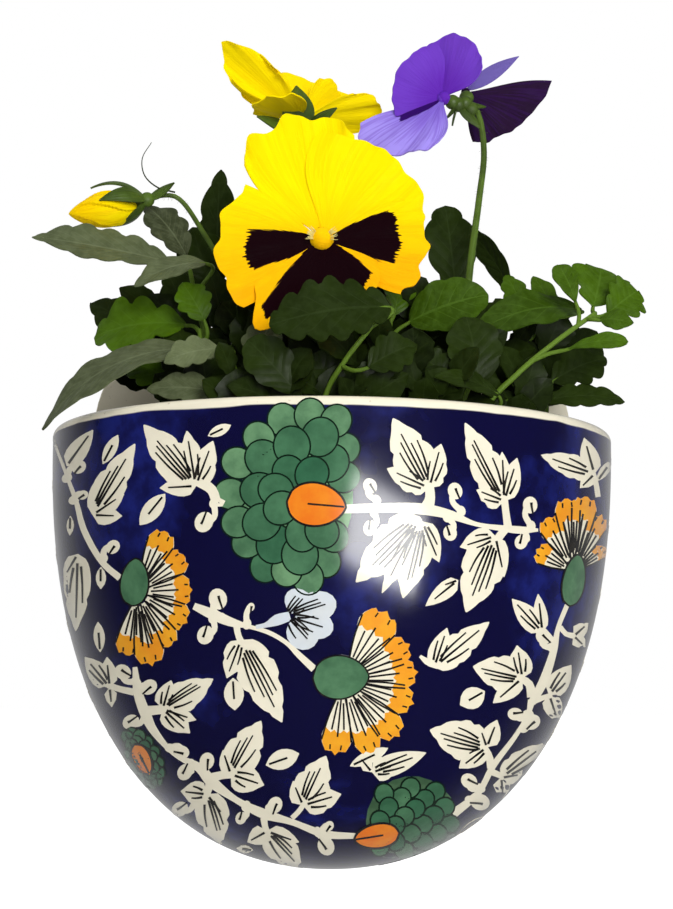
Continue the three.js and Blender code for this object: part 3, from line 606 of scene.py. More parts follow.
def bowl_radius(z, radius=RIM_RADIUS, bottom=BOTTOM_Z):
    drop = min(1, max(0, (RIM_Z - z) / (RIM_Z - bottom)))
    return radius * (1 - drop ** BOWL_FULLNESS) ** BOWL_ROUNDNESS


PROFILE_STEPS = 64
PROFILE_CROWDING = 2.4
PROFILE_GAP = 0.2


def bowl_profile(radius, bottom, top):
    """Points from the bottom up the bowl's side, closer together where it curves more"""
    points = [Vector((0, 0, bottom))]
    for step in range(1, PROFILE_STEPS + 1):
        z = bottom + (top - bottom) * (step / PROFILE_STEPS) ** PROFILE_CROWDING
        points.append(Vector((bowl_radius(z, radius, bottom), 0, z)))
    return points


def quarter_round(centre_x, centre_z, radius, start, end, steps=6):
    """Points of an arc in the plane y = 0, between two angles in degrees"""
    points = []
    for step in range(steps + 1):
        angle = math.radians(start + (end - start) * step / steps)
        points.append(Vector((centre_x + radius * math.cos(angle), 0, centre_z + radius * math.sin(angle))))
    return points


SPIN_STEPS = 180
SPIN_MERGE = 1e-6


def turned_half(profile, wall_y):
    """A solid turned about the Z axis from a profile, and cut flat at y = wall_y"""
    mesh = bmesh.new()
    verts = [mesh.verts.new(point * MM) for point in profile]
    edges = [mesh.edges.new(pair) for pair in zip(verts, verts[1:])]
    bmesh.ops.spin(mesh, geom=verts + edges, cent=(0, 0, 0), axis=(0, 0, 1), dvec=(0, 0, 0),
                   angle=2 * math.pi, steps=SPIN_STEPS, use_merge=True)
    bmesh.ops.remove_doubles(mesh, verts=mesh.verts, dist=SPIN_MERGE)
    whole = mesh.verts[:] + mesh.edges[:] + mesh.faces[:]
    bmesh.ops.bisect_plane(mesh, geom=whole, plane_co=(0, wall_y * MM, 0), plane_no=(0, 1, 0),
                           clear_outer=True)
    rims = [edge for edge in mesh.edges if edge.is_boundary]
    bmesh.ops.holes_fill(mesh, edges=rims, sides=0)
    bmesh.ops.recalc_face_normals(mesh, faces=mesh.faces)
    return mesh


BACK_FOOT = 12
BACK_SOFT_FROM = 6
BACK_ROUND = LIP_ROUND * 0.8
SHOULDER_STEPS = 12


def back_plate():
    """The raised back, with rounded shoulders and softened edges"""
    mesh = bmesh.new()
    flat = BACK_HALF_WIDTH - SHOULDER_WIDTH
    edge = [Vector((side * BACK_HALF_WIDTH, 0, RIM_Z - BACK_FOOT)) for side in (-1, 1)]
    for side, start, end in ((1, 0, 90), (-1, 90, 0)):
        for step in range(SHOULDER_STEPS + 1):
            angle = math.radians(start + (end - start) * step / SHOULDER_STEPS)
            edge.append(Vector((side * (flat + SHOULDER_WIDTH * math.cos(angle)), 0,
                                RIM_Z + BACK_RAISE * math.sin(angle))))
    face = mesh.faces.new([mesh.verts.new(point * MM) for point in edge])
    grown = bmesh.ops.extrude_face_region(mesh, geom=[face])
    moved = [part for part in grown["geom"] if isinstance(part, bmesh.types.BMVert)]
    bmesh.ops.translate(mesh, verts=moved, vec=(0, -WALL * MM, 0))
    bmesh.ops.recalc_face_normals(mesh, faces=mesh.faces)
    front = [edge for edge in mesh.edges
             if all(vert.co.y < -WALL * MM / 2 and vert.co.z > (RIM_Z - BACK_SOFT_FROM) * MM
                    for vert in edge.verts)]
    bmesh.ops.bevel(mesh, geom=front, offset=BACK_ROUND * MM, segments=4, profile=0.5,
                    affect="EDGES", material=-1, clamp_overlap=True)
    return mesh


def hole_plugs():
    """Two round plugs where the wall screws go"""
    mesh = bmesh.new()
    for side in (-1, 1):
        place = Matrix.Translation(Vector((side * HANGING_HOLE_X, -WALL / 2, HANGING_HOLE_Z)) * MM)
        turn = Matrix.Rotation(math.pi / 2, 4, "X")
        bmesh.ops.create_cone(mesh, cap_ends=True, segments=40, radius1=HANGING_HOLE_RADIUS * MM,
                              radius2=HANGING_HOLE_RADIUS * MM, depth=3 * WALL * MM, matrix=place @ turn)
    return mesh


def combine(base, operation, tool):
    """Applies one Boolean to base and removes the tool"""
    change = base.modifiers.new(operation, "BOOLEAN")
    change.operation = operation
    change.solver = "EXACT"
    change.object = tool
    graph = bpy.context.evaluated_depsgraph_get()
    result = bpy.data.meshes.new_from_object(base.evaluated_get(graph))
    base.modifiers.clear()
    base.data = result
    bpy.data.objects.remove(tool)


BACK_FACING = 0.9
PAINT_EDGE = LIP_ROUND * 0.9


def is_painted(face):
    """True for the outer side of the bowl below the lip, which carries the painting"""
    centre = face.calc_center_median() / MM
    outward = face.normal.dot(centre - Vector((0, 0, RIM_Z)))
    return outward > 0 and face.normal.y < BACK_FACING and centre.z < RIM_Z - PAINT_EDGE


BOWL_MERGE = 2e-6
CAVITY_ABOVE_RIM = 5


def make_bowl():
    lip_z = RIM_Z - LIP_ROUND
    outside = bowl_profile(RIM_RADIUS, BOTTOM_Z, lip_z - PROFILE_GAP)
    outside += quarter_round(RIM_RADIUS - LIP_ROUND, lip_z, LIP_ROUND, 0, 90)
    inner_radius = RIM_RADIUS - WALL
    inside = bowl_profile(inner_radius, BOTTOM_Z + WALL, lip_z - PROFILE_GAP)
    inside += quarter_round(inner_radius + LIP_ROUND, lip_z, LIP_ROUND, 180, 90)
    inside += [Vector((reach, 0, RIM_Z + CAVITY_ABOVE_RIM)) for reach in (inner_radius + LIP_ROUND, 0)]
    body = new_object("glazed_bowl_shape", turned_half([*outside, Vector((0, 0, RIM_Z))], 0))
    combine(body, "DIFFERENCE", new_object("cavity", turned_half(inside, -WALL)))
    combine(body, "UNION", new_object("back", back_plate()))
    combine(body, "DIFFERENCE", new_object("plugs", hole_plugs()))
    mesh = new_mesh()
    mesh.from_mesh(body.data)
    bpy.data.objects.remove(body)
    bmesh.ops.remove_doubles(mesh, verts=mesh.verts, dist=BOWL_MERGE)
    mesh.normal_update()
    for face in mesh.faces:
        face.material_index = 0 if is_painted(face) else 1
    ground = glaze("Painted cobalt glaze", ground_paint)
    cream = glaze("Clear cream glaze", body_cream_paint)
    finish_piece("glazed_bowl", mesh, [ground, cream], "glazed_blue", "planter_body")


# The painting. Its shapes are drawn flat, on the photograph's pixels, and are cast through the camera
# on to the bowl, where each becomes a closed strip of glaze that stands 0.1 to 0.3 mm proud.
# A shape is a function of (t, s), with t along it and s across it, and its rows and columns of faces.

PAINT_THICKNESS = 0.25
LAYER = 0.0012
LAYERS = 9
CREAM_LIFT = 0.09
ORANGE_LIFT = 0.12
GREEN_LIFT = 0.13
LINE_LIFT = 0.2
CUP_LIFT = 0.225
SCALE_LIFT = 0.075
SCALE_STEP = 0.015
PATCH_PIXELS = 7
SCALE_PIXELS = 5
LINE_PIXELS = 5
LINE_WIDTH = 1.9
VEIN_WIDTHS = (2.3, 1.3)
LEAST_WIDTH = 0.03
LOBE_FULLNESS = 1.22
NICKED_WIDTH = 24
NICK_DEPTH = 0.2
BRANCH_FULLNESS = 0.74
CURL_FULLNESS = 1.25
FAN_FULLNESS = 1.24
KNUCKLE = 5.5
SCALLOP_SHARE = 0.42
SEARCH_STEPS = 26
PIXEL_MM = 0.3
SIDE_STRIP = 52


def bowl_normal(point):
    z = min(max(point.z, BOTTOM_Z + 1), RIM_Z - 1)
    slope = bowl_radius(z + 0.5) - bowl_radius(z - 0.5)
    flat = Vector((point.x, point.y, 0)).normalized()
    return Vector((flat.x, flat.y, -slope)).normalized()


def seen_on_bowl(u, v):
    """The bowl's point at a pixel, or beside its outline the nearest one to that line of sight"""
    ray = (CAMERA_AHEAD + CAMERA_RIGHT * ((u - PHOTO_WIDTH / 2) / FOCAL_PIXELS)
           - CAMERA_UP * ((v - PHOTO_HEIGHT / 2) / FOCAL_PIXELS))

    def gap(depth):
        x, y, z = CAMERA_EYE.x + ray.x * depth, CAMERA_EYE.y + ray.y * depth, CAMERA_EYE.z + ray.z * depth
        return math.hypot(x, y) - bowl_radius(z)

    near = (-RIM_RADIUS - 1 - CAMERA_EYE.y) / ray.y
    low, high = near, -CAMERA_EYE.y / ray.y
    for _ in range(SEARCH_STEPS):
        third = (high - low) / 3
        if gap(low + third) < gap(high - third):
            high -= third
        else:
            low += third
    deepest = (low + high) / 2
    if gap(deepest) < 0:
        low, high = near, deepest
        for _ in range(SEARCH_STEPS):
            middle = (low + high) / 2
            if gap(middle) > 0:
                low = middle
            else:
                high = middle
        deepest = (low + high) / 2
    point = CAMERA_EYE + ray * deepest
    point.z = min(max(point.z, BOTTOM_Z + 0.2), RIM_Z)
    reach = bowl_radius(point.z) / max(math.hypot(point.x, point.y), 1e-6)
    return Vector((point.x * reach, min(point.y * reach, -0.4), point.z))


def beside_wall(side):
    """A chart of the strip that the photograph can't show, beside the wall"""
    def place(u, v):
        z = -v * PIXEL_MM
        from_wall = (SIDE_STRIP - u if side > 0 else u) * PIXEL_MM
        reach = bowl_radius(z)
        angle = max(from_wall, 0.5) / reach
        return Vector((side * reach * math.cos(angle), -reach * math.sin(angle), z))
    return place


class Brush:
    """One colour of glaze, gathered as flat shapes and given its thickness at the end"""

    def __init__(self, lift):
        self.mesh = new_mesh()
        self.lift = lift
        self.count = 0

    def lay(self, shape, chart=seen_on_bowl, tone=1.0, dark=0.0, lift=None, layered=True):
        flat, rows, columns = shape
        rise = self.lift if lift is None else lift
        if layered:
            rise += LAYER * (self.count % LAYERS)
            self.count += 1

        def point(t, s):
            place = chart(*flat(t, s))
            return place + bowl_normal(place) * rise

        patch(self.mesh, rows, columns, point, (tone, dark, 0))

    def finish(self, name, material):
        """Closes each shape with a second skin, straight below the first so that no corner is drawn out"""
        lower = self.mesh.verts[:]
        bmesh.ops.extrude_face_region(self.mesh, geom=self.mesh.faces[:])
        for vert in lower:
            vert.co -= bowl_normal(vert.co / MM) * (PAINT_THICKNESS * MM)
        finish_piece(name, self.mesh, [material], "glazed_blue")


def grid_counts(length, width):
    return max(3, math.ceil(length / PATCH_PIXELS)), max(2, math.ceil(width / PATCH_PIXELS))


def across_of(axis):
    """The direction to the left of axis, where v counts down"""
    return Vector((axis.y, -axis.x)).normalized()


def along_line(base, tip, width, share, fineness=1.0):
    """A shape along the line from base to tip. share(t) is its width there, as a share of width."""
    base = Vector(base)
    axis = Vector(tip) - base
    side = across_of(axis) * (width / 2)
    return (lambda t, s: base + axis * t + side * (s * max(share(t), LEAST_WIDTH)),
            *grid_counts(axis.length * fineness, width))


def lobe_width(t):
    """1 at the lobe's widest place, about a third of the way along"""
    return 2.49 * max(t, 0) ** 0.5 * max(1 - t, 0) ** 0.9


def lobe(base, tip, width):
    """A pointed lobe of a leaf. A broad one has nicked edges."""
    depth = NICK_DEPTH if width > NICKED_WIDTH else 0

    def share(t):
        nick = 1 - depth * max(0, math.cos(7 * math.pi * t)) ** 3 * (0.3 < t < 0.9)
        return lobe_width(t) * nick

    return along_line(base, tip, width, share, 1.5 if depth else 1)


def oval(base, tip, width):
    return along_line(base, tip, width,
                      lambda t: max(math.sin(math.pi * t) ** 0.7 if 0 < t < 1 else 0, 0.04), 1.4)


def drop(base, tip, width):
    """A teardrop, round at its base and pointed at its tip"""
    return along_line(base, tip, width, lambda t: 2.05 * t ** 0.5 * (1 - t) ** 0.62 if t < 1 else 0, 1.8)


def disc(centre, radius, squash=1.0, heading=(1, 0), fineness=PATCH_PIXELS):
    """A round spot, or an oval one that is longer along its heading"""
    axis = Vector(heading).normalized()
    side = across_of(axis)

    def flat(t, s):
        angle = math.pi * (1 - t)
        return (Vector(centre) + axis * (radius * math.cos(angle))
                + side * (s * radius * squash * max(math.sin(angle), LEAST_WIDTH)))

    return flat, max(8, math.ceil(1.6 * radius / fineness)), max(2, math.ceil(2 * radius / fineness))


def scallop(base, tip, width):
    """A round lobe, as wide as given, that starts beyond its base"""
    axis = Vector(tip) - Vector(base)
    radius = SCALLOP_SHARE * axis.length
    return disc(Vector(base) + axis * (1 - SCALLOP_SHARE), radius, width / (2 * radius), axis)


def ribbon(points, step=LINE_PIXELS):
    """A smooth line through (u, v, width) points"""
    reach = sum((Vector(b) - Vector(a)).length for a, b in zip(points, points[1:]))
    rows = max(2, math.ceil(reach / step))
    path = smooth_path(points, rows + 1)

    def flat(t, s):
        index = round(t * rows)
        axis = (path[min(index + 1, rows)] - path[max(index - 1, 0)]).to_2d()
        return path[index].to_2d() + across_of(axis) * (s * path[index].z / 2)

    return flat, rows, max(1, math.ceil(max(point[2] for point in points) / PATCH_PIXELS))


def line(*points, width=LINE_WIDTH):
    return ribbon([(*point, width) for point in points])


def outline(shape, width=LINE_WIDTH):
    """A line round the whole edge of a shape"""
    flat, rows, _ = shape
    edge = [flat(step / rows, 1) for step in range(rows + 1)]
    edge += [flat(1 - step / rows, -1) for step in range(rows + 1)]
    edge = [spot for spot, after in zip(edge, edge[1:] + edge[:1]) if (spot - after).length > 0.5]
    return ribbon([(*spot, width) for spot in [*edge, edge[0], edge[1]]], 4)


FAN_ORANGE_START = 0.64
FAN_START = 0.2


def fan_petal(throat, tip, width):
    """A petal that widens from the throat to a scalloped end"""
    axis, side = tip - throat, across_of(tip - throat) * (width / 2)

    def flat(t, s):
        end = 1 - 0.1 * s * s + 0.03 * math.cos(3 * math.pi * s)
        share = (FAN_START + (1 - FAN_START) * t) * (1 + (end - 1) * t)
        spread = 0.2 + 0.8 * min(1, t * 1.15) ** 0.85 - 0.12 * max(0, t - 0.8) / 0.2
        return throat + axis * share + side * (s * spread)

    return flat, *grid_counts(axis.length, width * 1.6)


def outer_part(shape, start):
    flat, rows, columns = shape
    return (lambda t, s: flat(start + 0.03 * math.sin(9 * s) * (1 - t) + (1 - start) * t, s * 0.97),
            max(3, rows // 2), columns)


# Each vein's lean and its start and end along the lobe, with the least width that has it
LEAF_VEINS = ((0, 0.12, 0.78, 0), (0.55, 0.16, 0.62, 20), (-0.58, 0.18, 0.56, 20), (0.28, 0.14, 0.7, 31),
              (-0.28, 0.14, 0.66, 38))
# Each line's side of a fan petal, and where it starts and ends: the borders, and the rays between them
FAN_LINES = ((-1, 0, 0.93), (1, 0, 0.93), (-0.45, 0.12, 0.62), (0.05, 0.08, 0.7), (0.5, 0.14, 0.6))
FAN_LINE_WIDTH = 1.7
FAN_TICKS = (-0.38, 0.36)


class Paints:
    """The four glazes of the painting"""

    def __init__(self):
        self.cream = Brush(CREAM_LIFT)
        self.orange = Brush(ORANGE_LIFT)
        self.green = Brush(GREEN_LIFT)
        self.line = Brush(LINE_LIFT)
        self.dice = random.Random(21)

    def vein(self, base, tip, width, lean, start, end):
        """A stroke that tapers towards the tip, and leans to one side of its lobe"""
        base, tip = Vector(base), Vector(tip)
        axis, side = tip - base, across_of(tip - base) * (width / 2)
        first = base + axis * start + side * (0.5 * lean)
        last = base + axis * (end + self.dice.uniform(-0.06, 0.06)) + side * (lean * lobe_width(end))
        middle = first.lerp(last, 0.5) + side * (0.08 * lean)
        broad, fine = VEIN_WIDTHS
        self.line.lay(ribbon([(*first, broad), (*middle, (broad + fine) / 2), (*last, fine)]))

    def leaf(self, base, lobes, stalk=(), tone=1.0, kind=lobe):
        for u, v, narrow in lobes:
            width = narrow * LOBE_FULLNESS
            self.cream.lay(kind(base, (u, v), width), tone=tone)
            for *vein, least in LEAF_VEINS:
                if width >= least:
                    self.vein(base, (u, v), width, *vein)
        if stalk:
            self.cream.lay(ribbon(stalk), tone=tone)

    def single(self, base, tip, width, chart=seen_on_bowl):
        """A small oval leaf with one vein"""
        self.cream.lay(oval(base, tip, width), chart)
        base, tip = Vector(base), Vector(tip)
        self.line.lay(line(base.lerp(tip, 0.1), base.lerp(tip, 0.65)), chart)

    def curl(self, centre, radius, root):
        """A hooked shoot that ends in a round curl"""
        centre, root = Vector(centre), Vector(root)
        radius = radius * CURL_FULLNESS
        away = centre - root
        bulge = across_of(away) * radius * 0.55
        bend = root.lerp(centre, 0.55) + bulge
        self.cream.lay(ribbon([(*root, 6.5), (*bend, 5.5), (*(centre + bulge * 0.5), 5.5)], 3))
        self.cream.lay(disc(centre, radius * 0.85, 0.85, away))
        self.cream.lay(disc(root, KNUCKLE, 0.8, away))
        inner = centre - bulge * 0.2
        start = inner + away.normalized() * radius * 0.25
        end = centre - away.normalized() * radius * 0.9 - bulge * 0.4
        self.line.lay(ribbon([(*start, 2.6), (*inner, 2.2), (*end, 1.6)], 3))

    def branch(self, points, chart=seen_on_bowl):
        self.cream.lay(ribbon([(u, v, width * BRANCH_FULLNESS) for u, v, width in points]), chart)

    def carnation(self, throat, tips, cup):
        """Fan petals with orange ends round a green cup"""
        throat = Vector(throat)
        for u, v, width in tips:
            shape = fan_petal(throat, Vector((u, v)), width * FAN_FULLNESS)
            self.cream.lay(shape)
            self.orange.lay(outer_part(shape, FAN_ORANGE_START), tone=self.dice.uniform(0, 0.2))
            self.fan_lines(shape[0])
        shape = drop(*cup)
        self.green.lay(shape, tone=self.dice.uniform(0.3, 0.5), lift=CUP_LIFT)
        self.line.lay(outline(shape, 1.6), lift=CUP_LIFT + SCALE_STEP)

    def fan_lines(self, flat):
        """The black rays and borders of a fan petal"""
        for s, start, end in FAN_LINES:
            points = (flat(start, s), flat((start + end) / 2, s), flat(end, s))
            self.line.lay(line(*points, width=FAN_LINE_WIDTH))
        for s in FAN_TICKS:
            self.line.lay(line(flat(0.9, s), flat(0.99, s), width=1.5))

    def scale(self, centre, radius, level, tone, heading):
        """One rounded scale of a rosette, with its dark edge, above the scales of the levels below"""
        shape = disc(centre, radius, 0.92, heading, SCALE_PIXELS)
        rise = SCALE_LIFT + SCALE_STEP * level
        self.green.lay(shape, tone=tone, lift=rise, layered=False)
        self.green.lay(outline(shape, 1.7), dark=1.0, lift=rise + SCALE_STEP / 2, layered=False)

    def heart(self, base, tip, width, levels):
        """The orange teardrop of a rosette, above all its levels of scales"""
        shape = drop(base, tip, width)
        rise = SCALE_LIFT + SCALE_STEP * (levels + 1)
        self.orange.lay(shape, tone=0.8, lift=rise)
        self.line.lay(outline(shape, 2.2), lift=rise + SCALE_STEP)
        base, tip = Vector(base), Vector(tip)
        self.line.lay(line(base.lerp(tip, 0.35), base.lerp(tip, 0.97)), lift=rise + SCALE_STEP)


# Each is a base, the tips of its lobes with their widths and, on most, its stalk's (u, v, width) places
PAINTED_LEAVES = (
    ((196, 486), ((144, 425, 32), (187, 431, 22), (213, 441, 22), (160, 488, 16)),
     ((196, 480, 10), (212, 490, 10), (218, 505, 9), (222, 499, 8))),
    ((93, 515), ((135, 444, 26), (124, 494, 16), (122, 516, 16))),
    ((67, 466), ((93, 430, 16), (84, 443, 9))),
    ((78, 554), ((76, 631, 22), (64, 578, 12))),
    ((429, 488), ((393, 418.5, 36), (441, 444, 22), (387, 468.5, 22)),
     ((429, 484, 9), (430, 498, 10), (426.5, 509, 14))),
    ((504, 501), ((465, 423, 28), (517, 458, 18), (502, 452, 16), (476.5, 490, 20)),
     ((504, 497, 7), (506, 514, 7), (508, 528, 8))),
    ((594, 474), ((541, 455, 20), (584, 438, 16), (580, 488, 12)),
     ((592, 470, 5), (596, 484, 5), (598, 497, 5))),
    ((420, 517), ((356, 582, 36), (382, 593, 20))),
    ((422, 521.5), ((403, 598, 30), (439, 562, 18))),
    ((495, 536), ((466, 612, 36), (460, 547, 20), (504, 577, 16)),
     ((496, 541, 8), (502, 533, 8), (507, 527, 8))),
    ((542, 632), ((512, 599, 18), (538, 594, 12)), ((541, 628, 6), (549, 636, 5), (556, 645, 5))),
    ((573.5, 636), ((588, 623, 12), (585, 647, 12)), ((575, 636, 6), (566, 634, 5), (560, 627, 5))),
    ((434, 667), ((489, 622, 24), (447, 628, 18)), ((438, 664, 10), (428, 662, 7), (420, 656, 3))),
    ((522, 678), ((473, 666.5, 30), (517, 645.5, 20), (493, 703, 16)),
     ((518, 677, 7), (529, 684, 8), (531.5, 697, 9))),
    ((549, 695), ((571, 665, 18), (558, 722, 16)), ((552, 695, 5), (542, 698, 5), (534, 701, 6))),
    ((486.5, 747), ((430, 730, 34), (497, 720, 16), (480, 728, 12), (459, 768, 18)),
     ((483, 745, 6), (489, 756, 7), (491, 768, 8))),
    ((501, 777.5), ((547, 743, 20), (503, 798, 14), (522, 774, 14)),
     ((504, 777, 6), (497, 774, 6), (490, 771, 7))),
    ((372, 772), ((426, 752.6, 18), (359, 756, 10), (398, 764, 20))),
    ((241, 640), ((282, 722, 34), (227, 678, 20)), ((242, 644, 7), (238, 634, 6), (236.5, 624, 7))),
    ((163, 709), ((213, 679, 26), (171, 680.5, 18), (190, 733, 20), (196, 720, 14)),
     ((167, 709, 9), (156, 710, 9), (146, 711, 10))),
    ((110, 687), ((85, 657, 18), (107, 657, 14), (112, 707, 10)),
     ((108, 685, 6), (120, 689, 6), (134, 692, 7))),
    ((231, 774), ((261, 721, 30), (264, 785, 24), (223, 750, 14)),
     ((234, 774, 8), (222, 775, 8), (212, 777.5, 9))),
    ((303, 805), ((326, 756, 30), (293, 781, 16), (341, 794, 22)),
     ((305, 802, 5), (299, 811, 5), (292, 818, 5))),
    ((207, 794), ((221, 844, 28), (181, 791, 20), (226, 818, 16)),
     ((206, 797, 7), (209, 787, 8), (211, 781, 9))),
    ((267, 831), ((301, 868, 26), (247.5, 842, 16), (299, 842, 14)),
     ((268, 834, 6), (265, 826, 6), (264, 818, 7))),
    ((458, 580), ((425.5, 606, 14), (441, 586, 8))),
)
BELL_FLOWER = dict(
    base=(287, 616), lobes=((308, 593, 26), (336, 601, 26), (333, 630, 24), (314, 646, 26)),
    stalk=((256, 627, 4), (266, 625, 5), (277, 620, 11), (290, 616, 9)), tone=0.0, kind=scallop)

# Each is a base, a tip and a width
PAINTED_OVALS = (
    ((208, 436), (231, 425), 11), ((165, 494), (140, 525), 18), ((103, 464), (118, 435), 12),
    ((70.6, 516), (70, 535.5), 7), ((101, 567), (101, 589), 10), ((597, 481), (612, 460), 9),
    ((484.6, 691), (460, 705), 22), ((488, 816), (455, 841), 12), ((233, 678), (235, 710), 20),
    ((100.5, 652), (98, 622), 11), ((266, 765), (299, 753.5), 20), ((253, 850), (236.5, 848), 8),
    ((350, 766), (388, 748), 13),
)

# Each is a centre, a radius and the place on the branch that it grows from
PAINTED_CURLS = (
    ((204, 522), 10, (214, 503)), ((79, 467), 7, (67, 478)), ((83, 495), 5, (74, 500)),
    ((113, 547), 7, (103, 559)), ((370, 486), 7.5, (376.5, 500)), ((370, 528), 7.5, (374, 512)),
    ((455, 491), 8, (461, 511)), ((450, 533), 7.5, (447, 517)), ((530, 505), 8, (531, 526)),
    ((521, 542), 7, (524.5, 532)), ((543, 637), 7.5, (552, 648)), ((515, 714), 7, (528, 714)),
    ((532, 722), 8, (524, 728)), ((469, 781), 8, (480, 788)), ((480, 802), 9, (470, 800)),
    ((218, 599), 10, (222, 618)), ((205.5, 635), 9, (213, 618)), ((123, 672), 8, (136, 682)),
    ((149, 687), 8, (139, 694)), ((131, 722), 8, (146, 714)), ((182, 752), 7, (170, 748)),
    ((185, 772), 8, (190, 764)), ((207, 761), 8, (205, 773)), ((275, 805), 8, (270, 815)),
    ((241, 818), 6, (246, 806)), ((329, 826), 5, (322, 834)), ((326, 846), 9, (318, 832)),
    ((180, 809), 8, (196, 800)), ((251, 607), 4, (247, 624)),
)

# Each runs through (u, v, width) places
PAINTED_BRANCHES = (
    ((52, 436, 3), (65, 471, 4), (76, 501, 6), (84, 530, 8), (103, 563, 8), (120, 578, 9)),
    ((344, 509, 12), (373.5, 508, 12), (422, 509, 15), (451, 515, 12), (475.5, 524, 6), (500, 528, 8),
     (520, 530, 10), (538, 530, 4)),
    ((567, 605, 6), (558, 628, 6), (554, 649, 9), (543, 682, 12), (531.5, 703, 10)),
    ((531.5, 700, 10), (528, 714, 6), (516, 735, 6), (493, 766, 8), (478, 793, 8), (453, 814, 12)),
    ((194, 606, 9), (212, 614, 14), (231, 622, 12), (247, 626, 6), (270, 633, 6), (288, 644, 6),
     (298, 654, 8), (314, 669, 10)),
    ((135, 667, 6), (138, 692.5, 12), (146, 715, 14), (153, 729.5, 11), (174, 753.5, 6), (199.5, 768, 12),
     (211, 781, 15), (236.5, 800, 8), (262, 813, 13), (292, 822, 8), (325, 834, 10), (357, 836, 7)),
)

# Each is a throat, the petals' tips with their widths, and the green cup's base, tip and width
CARNATIONS = (
    ((137, 592), ((166, 532, 24), (184, 556, 24), (191, 590, 28), (186, 622, 26), (170, 646, 24),
                  (152, 664, 26), (128, 655, 24)), ((133, 606), (137, 558), 30)),
    ((573.5, 572), ((537, 550, 20), (547, 518, 22), (566, 499, 22), (586, 497, 22), (601, 516, 18),
                    (605, 548, 13)), ((569, 606), (578, 554), 24)),
    ((343, 680), ((386, 613, 34), (408, 645, 26), (416, 672, 26), (412, 703, 26), (398, 735, 26),
                  (372, 752, 24), (335, 753, 26)), ((313, 678), (369, 676), 46)),
)

TOP_HEART = dict(base=(287, 502), tip=(346, 507), width=46)
TOP_GROUND = dict(centre=(297, 497), radius=72, squash=0.78, heading=(0, 1))
TOP_SCALE_RINGS = (
    ((283, 420), (310, 415), (336, 421), (344, 449), (344, 477), (333, 536), (325, 561), (308, 578),
     (287, 570), (266, 566), (248, 542), (238, 522), (231, 494), (238, 463), (259, 438)),
    ((330, 463), (320, 437), (292, 446), (264, 459), (260, 491), (262, 522), (275, 544), (300, 555)),
    ((289, 473), (276, 490), (281, 508), (302, 534), (322, 531), (312, 474)),
)
TOP_SCALE_RADII = (17, 20, 18)
LOW_HEART = dict(base=(399, 832), tip=(354, 839), width=26)
LOW_ROSETTE = dict(centre=(412, 822), start=(384, 833), reach=48, slim=1.0, tilt=0.0, scale_radius=10.5,
                   rings=6)
SIDE_HEART = dict(base=(135, 744), tip=(150, 774), width=19)
SIDE_ROSETTE = dict(centre=(144, 759), start=(142, 758), reach=33, slim=0.5, tilt=62.0, scale_radius=7,
                    rings=4)
RING_SPACING = 1.25
SCALE_SPACING = 1.7
PALE_FROM_V = 845
PALE_WITHIN = 30


def paint_top_rosette(paints):
    ground = TOP_GROUND
    paints.green.lay(disc(**ground), lift=SCALE_LIFT - SCALE_STEP, layered=False)
    for ring, (centres, radius) in enumerate(zip(TOP_SCALE_RINGS, TOP_SCALE_RADII)):
        for number, centre in enumerate(centres):
            tone = paints.dice.uniform(0.1, 0.8) if ring == 0 else paints.dice.uniform(0, 0.25)
            heading = Vector(centre) - Vector(ground["centre"])
            paints.scale(centre, radius, 3 * ring + number % 3, tone, heading)
    paints.heart(**TOP_HEART, levels=3 * len(TOP_SCALE_RINGS))


def paint_rosette(paints, heart, centre, start, reach, slim, tilt, scale_radius, rings):
    """Scales in rings round the heart, kept inside the rosette's outline, and paler at its foot"""
    middle = Vector(centre)
    long_way = Vector((math.cos(math.radians(tilt)), math.sin(math.radians(tilt))))
    short_way = across_of(long_way)
    inner = reach - 0.55 * scale_radius
    paints.green.lay(disc(middle, reach - 2, slim, long_way), dark=0.6, lift=SCALE_LIFT - SCALE_STEP,
                     layered=False)
    for ring in range(rings):
        out = scale_radius * RING_SPACING * (rings - ring)
        count = max(5, round(2 * math.pi * out / (SCALE_SPACING * scale_radius)))
        for number in range(count):
            angle = 2 * math.pi * (number + 0.5 * (ring % 2)) / count
            heading = long_way * math.cos(angle) + short_way * (slim * math.sin(angle))
            place = Vector(start) + heading * out
            offset = place - middle
            if math.hypot(offset.dot(long_way), offset.dot(short_way) / slim) < inner:
                tone = paints.dice.uniform(0, 0.3) + 0.5 * max(0, place.y - PALE_FROM_V) / PALE_WITHIN
                paints.scale(place, scale_radius, 2 * ring + number % 2, min(tone, 1), heading)
    paints.heart(**heart, levels=2 * rings)


SIDE_STOPS = range(-215, 150, 40)


def paint_beside_wall(paints, side):
    """A plain branch with small leaves on the strip next to the wall"""
    chart = beside_wall(side)
    middle = SIDE_STRIP / 2
    paints.branch([(middle + 5 * math.sin(v), v, 5) for v in SIDE_STOPS], chart)
    for number, v in enumerate(SIDE_STOPS):
        way = 1 if number % 2 else -1
        paints.single((middle, v), (middle + 20 * way, v - 20), 10, chart)


